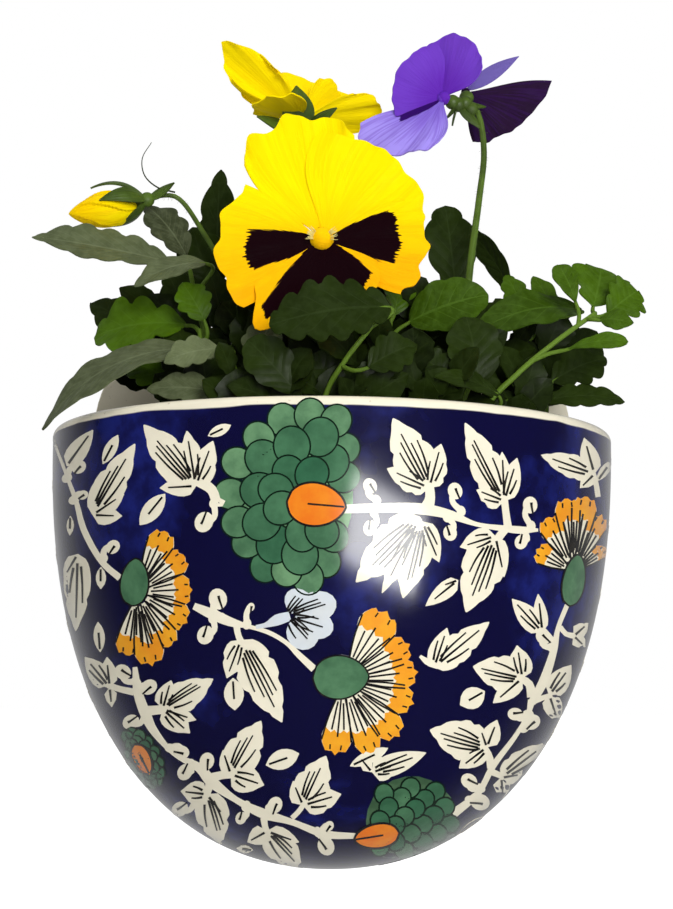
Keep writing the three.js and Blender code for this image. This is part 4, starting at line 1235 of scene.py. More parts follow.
def paint_bowl():
    """Lays every painted shape, and makes a piece of each glaze"""
    paints = Paints()
    for points in PAINTED_BRANCHES:
        paints.branch(points)
    for curl in PAINTED_CURLS:
        paints.curl(*curl)
    for leaf_shape in PAINTED_LEAVES:
        paints.leaf(*leaf_shape)
    paints.leaf(**BELL_FLOWER)
    for single in PAINTED_OVALS:
        paints.single(*single)
    for carnation in CARNATIONS:
        paints.carnation(*carnation)
    paint_top_rosette(paints)
    paint_rosette(paints, LOW_HEART, **LOW_ROSETTE)
    paint_rosette(paints, SIDE_HEART, **SIDE_ROSETTE)
    for side in (-1, 1):
        paint_beside_wall(paints, side)
    paints.cream.finish("painted_cream", glaze("Cream glaze", cream_paint))
    paints.orange.finish("painted_orange", glaze("Orange glaze", orange_paint))
    paints.green.finish("painted_green", glaze("Green glaze", green_paint))
    paints.line.finish("painted_lines", glaze("Black line glaze", line_paint))


# The leafy stems. A leaf grows from its stem's path at a share of the way up, and has a base, a tip, a
# width and the direction that its upper face looks in.

USUAL_FACE = (0, -0.9, 0.4)
LEAF_DEFAULTS = dict(arch=0.1, fold=0.18, teeth=3, tooth_depth=0.12, belly=0.5, bluntness=0.7)
SMOOTH = dict(teeth=2, tooth_depth=0.04)
ROUND = dict(tooth_depth=0.06, bluntness=0.5)
SCALLOPED = dict(tooth_depth=0.16, bluntness=0.5)


def leaf(at, base, tip, width, face=USUAL_FACE, **shape):
    return {**LEAF_DEFAULTS, "at": at, "base": base, "tip": tip, "width": width, "face": face, **shape}


def rear_leaf(*places):
    return leaf(*places, teeth=2)


def stem(finish, root, path, *leaves):
    """A stem's finish, the place where it enters the soil, its way up, and its leaves"""
    return dict(finish=finish, root=root, path=path, leaves=leaves)


LEAFY_STEMS = {
    "leafy_stem_left_top": stem("leaf_grey", (-40, -38), ((-41, -39, 92), (-46, -42, 114), (-50, -43, 131)),
        leaf(0.97, (-55, -48, 129), (-101, -56, 135.5), 17, (0.1, -0.75, 0.65), arch=0.02, fold=0.25,
             teeth=5, tone=0.4),
        leaf(0.86, (-43, -53, 128), (-66, -60, 118), 12, (-0.2, -0.75, 0.6), tooth_depth=0.06),
        leaf(0.99, (-51, -38, 134), (-66, -33, 153), 13, (0.3, -0.85, 0.3), tone=-0.1)),
    "leafy_stem_left_upright": stem("leaf_dark", (-33, -22),
        ((-34, -22, 90), (-38, -22, 110), (-40, -22, 124)),
        leaf(0.99, (-41, -22, 128), (-41, -18, 171), 14, (-0.3, -0.9, 0.1), arch=0.04, belly=0.42),
        leaf(0.7, (-44, -27, 106), (-59, -25, 132), 15, (-0.4, -0.7, 0.4)),
        leaf(0.8, (-38, -30, 108), (-43, -33, 131), 11),
        leaf(0.95, (-42, -26, 124), (-50, -28, 147), 16, (-0.2, -0.9, 0.3), tone=0.6),
        leaf(0.5, (-28, -28, 94), (-18, -34, 112), 14, (0.2, -0.8, 0.5))),
    "leafy_stem_left_bright": stem("leaf", (-46, -50), ((-45, -50, 84), (-44, -50, 97), (-45, -50, 106)),
        leaf(0.98, (-50, -47, 108), (-81, -44, 104), 21, (-0.1, -0.85, 0.5), tooth_depth=0.2, belly=0.6,
             bluntness=0.5),
        leaf(0.88, (-43, -54, 108), (-51, -53, 121), 11),
        leaf(0.5, (-54, -46, 88), (-70, -42, 96), 14, (-0.3, -0.7, 0.6))),
    "leafy_stem_left_drooping": stem("leaf_grey", (-27, -60),
        ((-29, -61, 80), (-32, -62, 90), (-35, -61, 97)),
        leaf(0.99, (-39, -61, 97), (-95, -60, 70), 20, (-0.2, -0.62, 0.78), arch=0.16, fold=0.1, teeth=5,
             tooth_depth=0.08, belly=0.55, tone=0.35),
        leaf(0.5, (-33, -70, 80), (-60, -69, 82), 10, (0, -0.9, 0.45)),
        leaf(0.9, (-36, -72, 95), (-54, -75, 90), 10, (-0.1, -0.9, 0.4)),
        leaf(0.8, (-25, -67, 90), (-20, -68, 106), 13, (-0.1, -0.9, 0.3), tooth_depth=0.06)),
    "leafy_stem_centre_dark": stem("leaf_dark", (-4, -76), ((-2, -78, 80), (4, -83, 90), (12, -86, 100)),
        leaf(0.99, (18, -87, 106), (-20, -91, 99), 19, (0, -0.95, 0.3), arch=0.09, teeth=5, **SCALLOPED),
        leaf(0.4, (-11, -82, 79), (-27, -83, 96), 14, (-0.1, -0.95, 0.2), belly=0.6, **ROUND),
        leaf(0.7, (11, -86, 87), (26, -84, 95), 12, (0.1, -0.95, 0.3))),
    "leafy_stem_centre_round": stem("leaf_dark", (8, -60), ((8, -62, 80), (7, -64, 86), (6, -65, 92)),
        leaf(0.7, (4, -72, 79), (-7, -75, 93), 14, (0, -0.95, 0.2), belly=0.6, **ROUND),
        leaf(0.99, (2, -62, 94), (-16, -59, 104), 14),
        leaf(0.9, (11, -66, 91), (32, -64, 97), 12, (0.1, -0.9, 0.4))),
    "leafy_stem_centre_sprig": stem("leaf", (19, -54), ((19, -55, 84), (18, -56, 98), (19, -56, 108)),
        leaf(0.8, (25, -60, 107), (51, -62, 116), 18, (0.1, -0.95, 0.3), tooth_depth=0.04, bluntness=0.55,
             tone=0.2),
        leaf(0.99, (20, -56, 110), (23, -50, 128), 10, (0.2, -0.9, 0.2)),
        leaf(0.9, (14, -54, 102), (8, -48, 120), 10, (-0.3, -0.9, 0.3)),
        leaf(0.6, (27, -50, 96), (36, -47, 112), 12, (0.2, -0.9, 0.3))),
    "leafy_stem_right_upright": stem("leaf_dark", (36, -34),
        ((37, -34, 90), (41, -33, 108), (43, -31, 118)),
        leaf(0.99, (43, -31, 120), (39, -27, 156), 16, (0.1, -0.95, 0.1), arch=0.03, tooth_depth=0.1,
             belly=0.62, bluntness=0.5),
        leaf(0.9, (63, -27, 122), (47, -21, 150), 9, (-0.8, -0.6, 0.1), arch=-0.12, tooth_depth=0.05,
             belly=0.6),
        leaf(0.7, (40, -41, 107), (29, -43, 120), 13),
        leaf(0.6, (49, -29, 104), (57, -28, 121), 13, (0.1, -0.9, 0.3))),
    "leafy_stem_right_arched": stem("leaf", (60, -38), ((61, -39, 86), (66, -41, 104), (76, -45, 112)),
        leaf(0.99, (84, -48, 114), (48, -55, 105), 18, (0.1, -0.75, 0.65), arch=0.13, tooth_depth=0.04,
             belly=0.55, bluntness=0.6, tone=0.15),
        leaf(0.75, (66, -37, 113), (60, -31, 130), 9, (0.1, -0.9, 0.3)),
        leaf(0.85, (76, -39, 114), (69, -34, 129), 8, (0.1, -0.9, 0.3), **SMOOTH),
        leaf(0.5, (57, -43, 90), (47, -46, 105), 13)),
    "leafy_stem_right_fan": stem("leaf", (48, -64),
        ((50, -65, 78), (60, -66, 89), (74, -65, 101), (86, -63, 110)),
        leaf(0.99, (86, -59, 113), (90, -51, 128), 17, (0.1, -0.9, 0.3), belly=0.6, **SCALLOPED),
        leaf(0.97, (90, -63, 110), (101, -57, 119), 13, (0.3, -0.9, 0.3), belly=0.6, **SCALLOPED),
        leaf(0.95, (87, -67, 107), (97, -70, 105), 8, **SMOOTH),
        leaf(0.9, (80, -61, 114), (75, -55, 128), 8, (0, -0.95, 0.2), **SMOOTH, belly=0.65, bluntness=0.5),
        leaf(0.62, (76, -68, 97), (95, -72, 99), 6, **SMOOTH, belly=0.7, bluntness=0.5)),
    "leafy_stem_right_low": stem("leaf_dark", (63, -50), ((64, -51, 77), (67, -52, 83), (71, -52, 88)),
        leaf(0.99, (73, -52, 89), (92, -47, 98), 13, (0.1, -0.9, 0.4), tooth_depth=0.16),
        leaf(0.5, (68, -57, 81), (97, -54, 82), 9, (0.1, -0.8, 0.6), teeth=4),
        leaf(0.75, (71, -38, 90), (92, -31, 110), 19, (0.1, -0.9, 0.35), tooth_depth=0.08)),
    "leafy_stem_right_front": stem("leaf_dark", (38, -72), ((40, -73, 74), (42, -73, 79), (44, -72, 84)),
        leaf(0.99, (47, -71, 85), (43, -69, 107), 17, (0.1, -0.95, 0.2), **ROUND),
        leaf(0.6, (53, -77, 80), (32, -82, 85), 8, (0, -0.8, 0.6), tooth_depth=0.06),
        leaf(0.8, (38, -72, 85), (27, -73, 94), 11, (-0.1, -0.9, 0.3))),
    "leafy_stem_rear_left": stem("leaf_dark", (-58, -24), ((-59, -24, 82), (-62, -23, 94), (-65, -22, 104)),
        rear_leaf(0.98, (-67, -22, 107), (-86, -20, 121), 15, (-0.3, -0.6, 0.7)),
        rear_leaf(0.75, (-66, -28, 93), (-84, -34, 92), 13, (-0.3, -0.5, 0.8)),
        rear_leaf(0.85, (-57, -19, 106), (-50, -12, 126), 14, (0.1, 0.3, 0.9)),
        rear_leaf(0.5, (-49, -25, 84), (-34, -27, 102), 15, (0, -0.98, 0.1))),
    "leafy_stem_rear_centre": stem("leaf_dark", (-5, -22), ((-5, -22, 84), (-4, -21, 98), (-3, -20, 110)),
        rear_leaf(0.98, (-3, -19, 113), (-3, -11, 137), 17, (0.1, 0.5, 0.8)),
        rear_leaf(0.8, (-10, -20, 104), (-27, -14, 122), 15, (-0.2, -0.6, 0.7)),
        rear_leaf(0.65, (1, -28, 98), (9, -40, 109), 15, (0, -0.6, 0.8)),
        rear_leaf(0.85, (4, -20, 108), (22, -16, 123), 16, (0.2, -0.6, 0.7))),
    "leafy_stem_rear_right": stem("leaf_dark", (56, -20), ((57, -20, 84), (61, -20, 96), (65, -19, 105)),
        rear_leaf(0.98, (68, -18, 107), (84, -16, 122), 15, (0.2, -0.6, 0.7)),
        rear_leaf(0.5, (51, -16, 83), (35, -15, 102), 15, (0, -0.98, 0.1)),
        rear_leaf(0.7, (67, -24, 92), (86, -28, 98), 13, (0.2, -0.6, 0.75)),
        rear_leaf(0.85, (66, -25, 106), (74, -30, 119), 13, (0.1, -0.8, 0.5))),
}


# Leaves

LEAF_THICKNESS = 0.45
LEAF_WAVE = 0.035
LEAF_DROOP = 0.03
NOTCH_GAIN = 1.5
NEAR_STEM = 4
STEM_POINTS = 41
STEM_TAPER = 0.3
# Each finish's paleness of the veins and pairs of side veins
LEAF_FINISHES = {"leaf": (0.02, 6.0), "leaf_dark": (0.012, 6.0), "leaf_grey": (0.05, 11.0)}


class Blade:
    """A leaf's, petal's or sepal's own directions: along, across and out of its upper face"""

    def __init__(self, base, tip, face):
        self.base = Vector(base)
        reach = Vector(tip) - self.base
        self.length = reach.length
        self.along = reach.normalized()
        out = Vector(face)
        self.out = (out - self.along * out.dot(self.along)).normalized()
        self.across = self.along.cross(self.out)

    def midrib(self, arch, t):
        return self.base + self.along * (self.length * t) + self.out * (4 * arch * self.length * t * (1 - t))


def leaf_surface(shape, blade, dice):
    """The point of a toothed, folded and slightly waved leaf at (t, s)"""
    skew = math.log(0.5) / math.log(shape["belly"])
    rows = 2 * shape["teeth"] + 1
    width = shape["width"]
    phase = dice.uniform(0, 2 * math.pi)
    twist = dice.uniform(-0.12, 0.12)
    wave_count = dice.uniform(1.6, 2.6)

    def point(t, s):
        egg = math.sin(math.pi * min(1, t) ** skew) ** shape["bluntness"] if 0 < t < 1 else 0
        tooth = 2 * abs(math.sin(math.pi * t * rows / 2)) ** 0.6 - 1
        edge = NOTCH_GAIN * abs(s) ** 3
        side = s * width / 2 * max(0.03, egg * (1 + shape["tooth_depth"] * tooth * edge))
        rise = shape["fold"] * math.sqrt(side * side + 0.05) + twist * side * t
        rise += LEAF_WAVE * width * math.sin(2 * math.pi * wave_count * t + phase + s) * s * s
        rise -= LEAF_DROOP * width * s * s * egg
        return blade.midrib(shape["arch"], t) + blade.across * side + blade.out * rise

    return point


def leaf_stalk_path(shape, blade, path):
    """From the stem to a seat under the blade, and a little way along it"""
    start = path[round(shape["at"] * (len(path) - 1))]
    seat = blade.base - blade.out * 0.3
    end = blade.midrib(shape["arch"], 0.12) - blade.out * 0.2
    reach = (start - blade.base).length
    if reach < NEAR_STEM:
        return smooth_path([start, seat, end], 8)
    approach = seat - blade.along * (0.35 * reach)
    return smooth_path([start, start.lerp(approach, 0.75), seat, end], 14)


def stem_path(root, path, count):
    foot = SOIL_EDGE_Z - ROOT_DEPTH
    upright = [(*root, foot + height) for height in (0, 7, 13)]
    return smooth_path([*upright, *path], count)


def leafy_stem(name, plan, dice):
    plants = settings().plants
    mesh = new_mesh()
    path = stem_path(plan["root"], plan["path"], STEM_POINTS)
    tube(mesh, path, lambda t: STEM_RADIUS * (1 - STEM_TAPER * t), (0.5, 0, 1))
    for shape in plan["leaves"]:
        blade = Blade(shape["base"], shape["tip"], shape["face"])
        tube(mesh, leaf_stalk_path(shape, blade, path), lambda t: PETIOLE_RADIUS * (1 - 0.4 * t ** 3),
             (0.5, 0, 0.8))
        tone = dice.uniform(0.3, 0.7)
        plate(mesh, plants.rows, plants.columns, leaf_surface(shape, blade, dice), blade.out,
              LEAF_THICKNESS, (shape.get("tone", tone), dice.random(), 0))
    finish = plan["finish"]
    material = leaf_material(f"Leaf of {name}", getattr(plants, finish), *LEAF_FINISHES[finish])
    finish_piece(name.replace("leafy_stem", "leaves"), mesh, [material], finish, name)


# Undergrowth: small dark leaves low in the pot, between the leafy stems. Their darkened green is painted
# shade, for the shadowed gaps under the other leaves.

UNDERGROWTH_ROWS = (
    dict(y=-22, left=-66, right=78, count=13, low=92, high=116),
    dict(y=-42, left=-52, right=80, count=13, low=86, high=112),
    dict(y=-50, left=-30, right=38, count=8, low=108, high=120),
    dict(y=-60, left=-44, right=68, count=11, low=80, high=100),
    dict(y=-76, left=-34, right=46, count=7, low=76, high=90),
)
SPRIG_LEAVES = 5
SPRIG_GRID = (10, 4)
SPRIG_RADIUS = 1.1


def undergrowth_leaf(at, base, length, dice):
    """A small round leaf that leans outwards"""
    swing = dice.uniform(-1.25, 1.25)
    reach = Vector((math.sin(swing), -0.25, math.cos(swing) * 0.8)) * length
    width = length * dice.uniform(0.5, 0.72)
    face = (dice.uniform(-0.5, 0.5), -0.8, dice.uniform(0.2, 0.8))
    return leaf(at, base, base + reach, width, face, tooth_depth=0.1, belly=dice.uniform(0.5, 0.62),
                arch=dice.uniform(0.02, 0.14))


def add_sprig(mesh, x, y, top, dice):
    """One upright shoot with its leaves"""
    end = (x + dice.uniform(-5, 5), y + dice.uniform(-3, 3), top)
    path = stem_path((x, y), [(x, y, (SOIL_EDGE_Z + top) / 2 + 6), end], 16)
    tube(mesh, path, lambda t: SPRIG_RADIUS * (1 - 0.4 * t), (0.2, 0, 0.7), 6)
    for number in range(SPRIG_LEAVES):
        at = 0.5 + 0.5 * number / (SPRIG_LEAVES - 1)
        shape = undergrowth_leaf(at, path[round(at * (len(path) - 1))], dice.uniform(13, 21), dice)
        blade = Blade(shape["base"], shape["tip"], shape["face"])
        # Painted shade: these leaves take only the darker tones of the dark leaf green
        plate(mesh, *SPRIG_GRID, leaf_surface(shape, blade, dice), blade.out, LEAF_THICKNESS,
              (dice.uniform(0, 0.45), dice.random(), 0))


def make_undergrowth():
    mesh = new_mesh()
    dice = random.Random(17)
    for row in UNDERGROWTH_ROWS:
        for number in range(row["count"]):
            x = row["left"] + (row["right"] - row["left"]) * (number + dice.uniform(0.2, 0.8)) / row["count"]
            add_sprig(mesh, x, row["y"] + dice.uniform(-4, 4), dice.uniform(row["low"], row["high"]), dice)
    material = leaf_material("Undergrowth", settings().plants.leaf_dark, 0.01, 4.0, relief=0.1)
    finish_piece("undergrowth", mesh, [material], "leaf_dark")


# Petals

PETAL_DEFAULTS = dict(cup=0.05, roundness=0.16, waves=3, wave_depth=0.035, ruffle=0.02, phase=0, lean=0,
                      throat=0.1, bulge=0.22, pointedness=0, lobe=(0, 0), blotch=(0, 0, 0))
PETAL_THICKNESS = 0.45
LOBE_WIDTH = 0.15


def petal(root, tip, spread, face=(0, -1, 0.1), **shape):
    """A petal's root, tip, half angle in degrees and facing. The blotch is its shade."""
    return {**PETAL_DEFAULTS, "root": root, "tip": tip, "spread": spread, "face": face, **shape}


def petal_surface(shape, blade, dice):
    """A fan that is widest before its rounded, wavy and finely ruffled edge"""
    fine_phase = dice.uniform(0, 2 * math.pi)
    ragged_phase = dice.uniform(0, 2 * math.pi)
    spread = math.radians(shape["spread"])
    lobe_side, lobe_height = shape["lobe"]

    def point(t, s):
        share = shape["throat"] + (1 - shape["throat"]) * t
        swing = shape["waves"] * math.pi * s + shape["phase"]
        reach = 1 - shape["roundness"] * s * s + shape["lean"] * s + shape["wave_depth"] * math.cos(swing)
        reach -= shape["pointedness"] * abs(s)
        reach += lobe_height * math.exp(-((s - lobe_side) / LOBE_WIDTH) ** 2)
        reach += t ** 4 * (0.012 * math.sin(11 * s + fine_phase) + 0.007 * math.sin(23 * s + ragged_phase))
        radius = blade.length * share * reach
        wave = shape["ruffle"] * math.sin(swing)
        crimp = t ** 3 * (0.009 * math.sin(13 * s + fine_phase) + 0.004 * math.sin(29 * s + ragged_phase))
        lift = blade.length * (share ** 2 * (shape["cup"] + wave) + crimp)
        angle = spread * s * (1 + shape["bulge"] * math.sin(math.pi * t))
        return (blade.base + blade.along * (radius * math.cos(angle))
                + blade.across * (radius * math.sin(angle)) + blade.out * lift)

    return point


def add_petals(mesh, petals, dice):
    plants = settings().plants
    for shape in petals:
        blade = Blade(shape["root"], shape["tip"], shape["face"])
        plate(mesh, plants.petal_rows, plants.petal_columns, petal_surface(shape, blade, dice), blade.out,
              PETAL_THICKNESS, shape["blotch"])


def add_knob(mesh, centre, radius, shade=(0, 0, 0)):
    """A round green cup or throat"""
    made = bmesh.ops.create_icosphere(mesh, subdivisions=3, radius=radius * MM,
                                      matrix=Matrix.Translation(Vector(centre) * MM), calc_uvs=True)
    layer = mesh.verts.layers.float_color[SHADE]
    for vert in made["verts"]:
        vert[layer] = (*shade, 1)


FRONT_THROAT = Vector((-4, -70, 132))
FRONT_THROAT_RADIUS = 4
FRONT_PETALS = (
    petal((-4, -69.6, 132), (-15, -66, 173.3), 31, (0, -1, 0.05), roundness=0.12),
    petal((-4, -69.8, 132), (17, -68, 161.5), 41, (0, -1, 0.05), phase=1, roundness=0.03, wave_depth=0.02),
    petal((-4, -70.4, 132), (-38.2, -71, 129.9), 40, phase=2, roundness=0.05, lean=-0.06, cup=0.02,
          wave_depth=0.02, bulge=0.12, blotch=(0.7, 0.24, 0.62)),
    petal((-4, -70.4, 132), (30, -71, 128.5), 31, phase=0.5, roundness=0.05, wave_depth=0.02,
          blotch=(0.72, 0.09, 0.69)),
    petal((-4, -70.8, 132), (-0.4, -73.5, 102.7), 60, phase=1.5, cup=0.06, roundness=0.22, lean=0.12,
          lobe=(0.68, 0.3), wave_depth=0.01, bulge=0.04, blotch=(0.84, 0.1, 0.88)),
)
BACK_THROAT = Vector((-12, -40, 183))
BACK_THROAT_RADIUS = 3
BACK_PETALS = (
    petal(BACK_THROAT, (-40, -36, 212), 23, (0.3, 0.85, 0.35), cup=-0.03, roundness=0.1, lean=0.08,
          wave_depth=0, bulge=0.3, pointedness=0.42),
    petal(BACK_THROAT, (-13, -20, 203.5), 56, (0.26, -0.62, 0.62), phase=2, roundness=-0.12,
          wave_depth=0.006),
    petal(BACK_THROAT, (16.5, -34, 187.5), 21, (-0.1, 0.75, 0.6), phase=1, roundness=0.3, wave_depth=0.01),
    petal(BACK_THROAT, (3.5, -24, 196), 30, (0, 0.9, 0.4), phase=0.5, roundness=0.2, wave_depth=0.02),
    petal(BACK_THROAT, (-24, -56, 183.5), 40, (0, 0.1, 1), phase=1.5),
)
VIOLET_THROAT = Vector((37.6, -39.8, 190.9))
VIOLET_THROAT_RADIUS = 2.4
VIOLET_PETALS = (
    petal(VIOLET_THROAT, (21.5, -46, 199), 50, (-0.4, -0.9, 0.1), cup=0.06, roundness=0.02, waves=2,
          wave_depth=0.01),
    petal(VIOLET_THROAT, (44, -43, 212), 44, (-0.3, -0.9, 0.15), cup=0.06, phase=1, roundness=0.27,
          lean=-0.05, waves=2, wave_depth=0.01),
)
LIP_PETALS = (
    petal(VIOLET_THROAT, (18.5, -52, 165.5), 32, (-0.25, -0.95, 0.3), throat=0.06, cup=0.06, roundness=0.2,
          lean=0.15, wave_depth=0.02, blotch=(0.5, 0.76, 0.86)),
)
PLUM_THROAT = Vector((45.8, -33, 195.6))
PLUM_THROAT_RADIUS = 1.6
PLUM_PETALS = (
    petal(PLUM_THROAT, (63, -25, 184.8), 44, (0.2, -0.9, -0.35), phase=1, roundness=-0.14, lean=-0.31,
          throat=0.05, bulge=0.08, wave_depth=0.02),
)
# This petal's shade fills it with the plum material's blotch colour, a paler violet that is painted light
NARROW_PLUM_PETAL = dict(base=(46.2, -33.4, 196.2), tip=(65, -30, 210), face=(-0.1, -1, 0.1), arch=0.05,
                         slimness=0.12, shade=(1.5, -1, 2))


def make_bloom(name, node, slot, petals, throat, material, seed, narrow=None):
    """One colour of a bloom: its petals and, where it has them, its throat and a narrow petal"""
    mesh = new_mesh()
    add_petals(mesh, petals, random.Random(seed))
    if throat:
        add_knob(mesh, *throat)
    if narrow:
        add_sepal(mesh, **narrow)
    finish_piece(name, mesh, [material], slot, node)


# Stalks with their green cups. A sepal has a tip, a facing and, on some, its arch and slimness.

SEPAL_THICKNESS = 0.6
SEPAL_SLIMNESS = 0.18
CALYX_RADIUS = 2.6
STALK_POINTS = 61
FLOWER_STALKS = {
    "bloom_front_stem": dict(
        root=(-6, -44), radius=1.4,
        path=((-6, -45, 90), (-5, -50, 118), (-4, -56, 131), (-4, -62, 132)),
        calyx=((-4, -62.6, 132),),
        sepals=(((-4, -62, 143), (0, 1, 0.2)), ((6, -62, 136), (0, 1, 0)), ((-14, -62, 136), (0, 1, 0)),
                ((2, -62, 122), (0, 1, -0.2)), ((-10, -62, 122), (0, 1, -0.2))),
    ),
    "bloom_back_stem": dict(
        root=(-16, -33), radius=1.4,
        path=((-16, -33, 100), (-15, -34, 140), (-13, -38, 165), (-12, -42, 176)),
        calyx=((-12, -40.5, 177),),
        sepals=(((-13.5, -52, 190.5), (0.1, -1, 0.1), 0.02, 0.32), ((0.5, -50, 183.5), (0.3, -0.8, 0.4)),
                ((-27, -49, 180.5), (-0.3, -0.8, 0.4)), ((-6, -31, 181), (0, 0.2, -1)),
                ((-19, -32, 181), (0, 0.2, -1))),
    ),
    "bloom_violet_stem": dict(
        root=(44, -50), radius=1.4,
        path=((44, -48, 90), (46, -44, 125), (50, -39, 155), (52, -36, 172), (51, -36, 183),
              (49.6, -36, 187.8)),
        calyx=((42.8, -37.3, 189.5), (40.8, -38.4, 190), (45.2, -36.6, 190.4), (46, -34.4, 193),
               (47.5, -36, 188.4)),
        sepals=(((38.5, -38.5, 184), (0, -0.3, -1)), ((53, -33.5, 190), (0.3, -0.7, 0.6)),
                ((50.5, -37, 181), (0.3, -0.7, 0.1)), ((41, -35, 182.5), (-0.3, 0.3, -0.9))),
    ),
    "bud_stem": dict(
        root=(-24, -36), radius=1.1,
        path=((-25, -37, 88), (-32, -38, 118), (-45, -37, 142), (-55, -38, 155), (-62.6, -41, 154.2)),
        calyx=((-64.6, -41.6, 152.9),),
        sepals=(((-84, -44, 156), (0, -0.3, 1), 0.2), ((-80, -50, 150), (0, -1, 0.3), 0.22),
                ((-79, -36, 152), (0, 1, 0.3), 0.22), ((-76, -43, 143), (0.1, -0.2, -1), 0.16),
                ((-55, -45, 158), (0.2, -0.8, 0.5), 0)),
    ),
}


def add_sepal(mesh, base, tip, face, arch=0.05, slimness=SEPAL_SLIMNESS, shade=(0.35, 0.5, 0)):
    """A slim pointed blade with a shallow keel"""
    blade = Blade(base, tip, face)

    def point(t, s):
        shape = math.sin(math.pi * t ** 0.8) ** 0.85 if 0 < t < 1 else 0
        side = s * slimness * blade.length * max(0.05, shape)
        return blade.midrib(arch, t) + blade.across * side - blade.out * (0.25 * abs(side))

    plate(mesh, 16, 6, point, blade.out, SEPAL_THICKNESS, shade)


HAIRS = 150
HAIR_LENGTH = 0.9
HAIR_RADIUS = 0.045


def add_hairs(mesh, path, radius, dice):
    """Short fine hairs that stand out from a stalk"""
    frames = turning_frames(path)
    for _ in range(HAIRS):
        index = dice.randrange(len(path) // 3, len(path) - 1)
        side, other = frames[index]
        angle = dice.uniform(0, 2 * math.pi)
        out = side * math.cos(angle) + other * math.sin(angle)
        start = path[index].lerp(path[index + 1], dice.random()) + out * (radius * 0.8)
        end = start + out * HAIR_LENGTH * dice.uniform(0.6, 1.1) + Vector((0, 0, -0.3))
        hair = [start, start.lerp(end, 0.5), end]
        tube(mesh, hair, lambda t: HAIR_RADIUS * (1 - 0.8 * t), (0.1, 0, 0), 3)


def flower_stalk(name, stalk, seed):
    mesh = new_mesh()
    radius = stalk["radius"]
    path = stem_path(stalk["root"], stalk["path"], STALK_POINTS)
    tube(mesh, path, lambda t: radius * (1 - STEM_TAPER * t ** 2), (0.1, 0, 0), 12)
    for centre in stalk["calyx"]:
        add_knob(mesh, centre, CALYX_RADIUS, (0.25, 0, 0))
    for sepal in stalk["sepals"]:
        add_sepal(mesh, stalk["calyx"][0], *sepal)
    add_hairs(mesh, path, radius, random.Random(seed))
    material = stalk_material(f"Stalk of {name}")
    finish_piece(name.replace("_stem", "_stalk"), mesh, [material], "stem", name)


BUD_START = Vector((-67.8, -42.4, 150.2))
BUD_END = Vector((-91, -45, 146.6))
BUD_RADIUS = 6.6
BUD_ROLLS = 5
BUD_GRID = (40, 90)


def make_bud(material):
    """The unopened bud: petals rolled spirally round its axis"""
    mesh = new_mesh()
    blade = Blade(BUD_START, BUD_END, (0, -1, 0.2))

    def point(t, s):
        angle = math.pi * s
        swell = math.sin(math.pi * t ** 0.8) ** 0.75 if 0 < t < 1 else 0
        roll = (BUD_ROLLS * (angle / (2 * math.pi)) + 1.2 * t) % 1
        reach = BUD_RADIUS * swell * (0.86 + 0.14 * roll)
        return (blade.base + blade.along * (blade.length * t)
                + blade.across * (reach * math.cos(angle)) + blade.out * (reach * math.sin(angle)))

    verts, _ = patch(mesh, *BUD_GRID, point, (0, 0, 0))
    bmesh.ops.remove_doubles(mesh, verts=verts, dist=MERGE)
    finish_piece("bud_petals_rolled", mesh, [material], "petal_yellow", "bud_petals")


# Whiskers in the front bloom's throat, and the dry filament over the bud

WHISKERS = 46
WHISKER_RADIUS = 0.14
WHISKER_LENGTH = 3.6


def add_whiskers(mesh, centre, dice):
    """Fine hairs that stand round the throat, towards the viewer"""
    for number in range(WHISKERS):
        angle = math.pi * (0.1 + 0.8 * (number % 2)) + dice.uniform(-0.55, 0.55)
        out = Vector((math.cos(angle), -0.75, math.sin(angle) * 0.9))
        start = centre + Vector((2.6 * math.cos(angle), -2.4, 2.4 * math.sin(angle)))
        end = start + out.normalized() * WHISKER_LENGTH * dice.uniform(0.5, 1)
        bend = start.lerp(end, 0.5) + Vector((0, -0.4, dice.uniform(-0.3, 0.3)))
        path = smooth_path([start, bend, end], 5)
        tube(mesh, path, lambda t: WHISKER_RADIUS * (1 - 0.5 * t), (0, 0, 0), 5)


FILAMENT_RADIUS = 0.32
FILAMENT_POINTS = ((-55, -42, 155.5), (-61, -42.5, 157), (-65.5, -43, 161), (-66.5, -43, 167),
                   (-63.5, -42.5, 173))


def make_filament(material):
    """A dry grey thread that curls up from the bud's stalk"""
    mesh = new_mesh()
    tube(mesh, smooth_path(FILAMENT_POINTS, 24), lambda t: FILAMENT_RADIUS * (1 - 0.6 * t), (1, 0, 0), 6)
    finish_piece("dry_filament", mesh, [material], "stem")


# Soil

CRUMBS = 170
CRUMBS_REACH = 84
SOIL_RADIUS = 88
SOIL_CROWN = 3


def make_crumbs(material):
    """Loose crumbs and bits of bark on the soil's surface"""
    mesh = new_mesh()
    dice = random.Random(5)
    for _ in range(CRUMBS):
        reach = CRUMBS_REACH * math.sqrt(dice.random())
        angle = dice.uniform(math.pi, 2 * math.pi)
        x, y = reach * math.cos(angle), reach * math.sin(angle)
        if y > -WALL - 4:
            continue
        size = dice.uniform(0.8, 2.4)
        z = SOIL_EDGE_Z + SOIL_CROWN * (1 - (reach / SOIL_RADIUS) ** 2)
        turn = Matrix.Rotation(dice.uniform(0, math.pi), 4, Vector((dice.random(), dice.random(), 1)))
        squash = Matrix.Diagonal((1, dice.uniform(0.5, 1), dice.uniform(0.4, 0.8), 1))
        place = Matrix.Translation(Vector((x, y, z)) * MM) @ turn @ squash
        made = bmesh.ops.create_icosphere(mesh, subdivisions=2, radius=size * MM, matrix=place)
        for vert in made["verts"]:
            away = vert.co - place.translation
            vert.co += away * (0.5 * noise.noise(vert.co * 900))
    finish_piece("soil_crumbs", mesh, [material], "soil")


# Stage

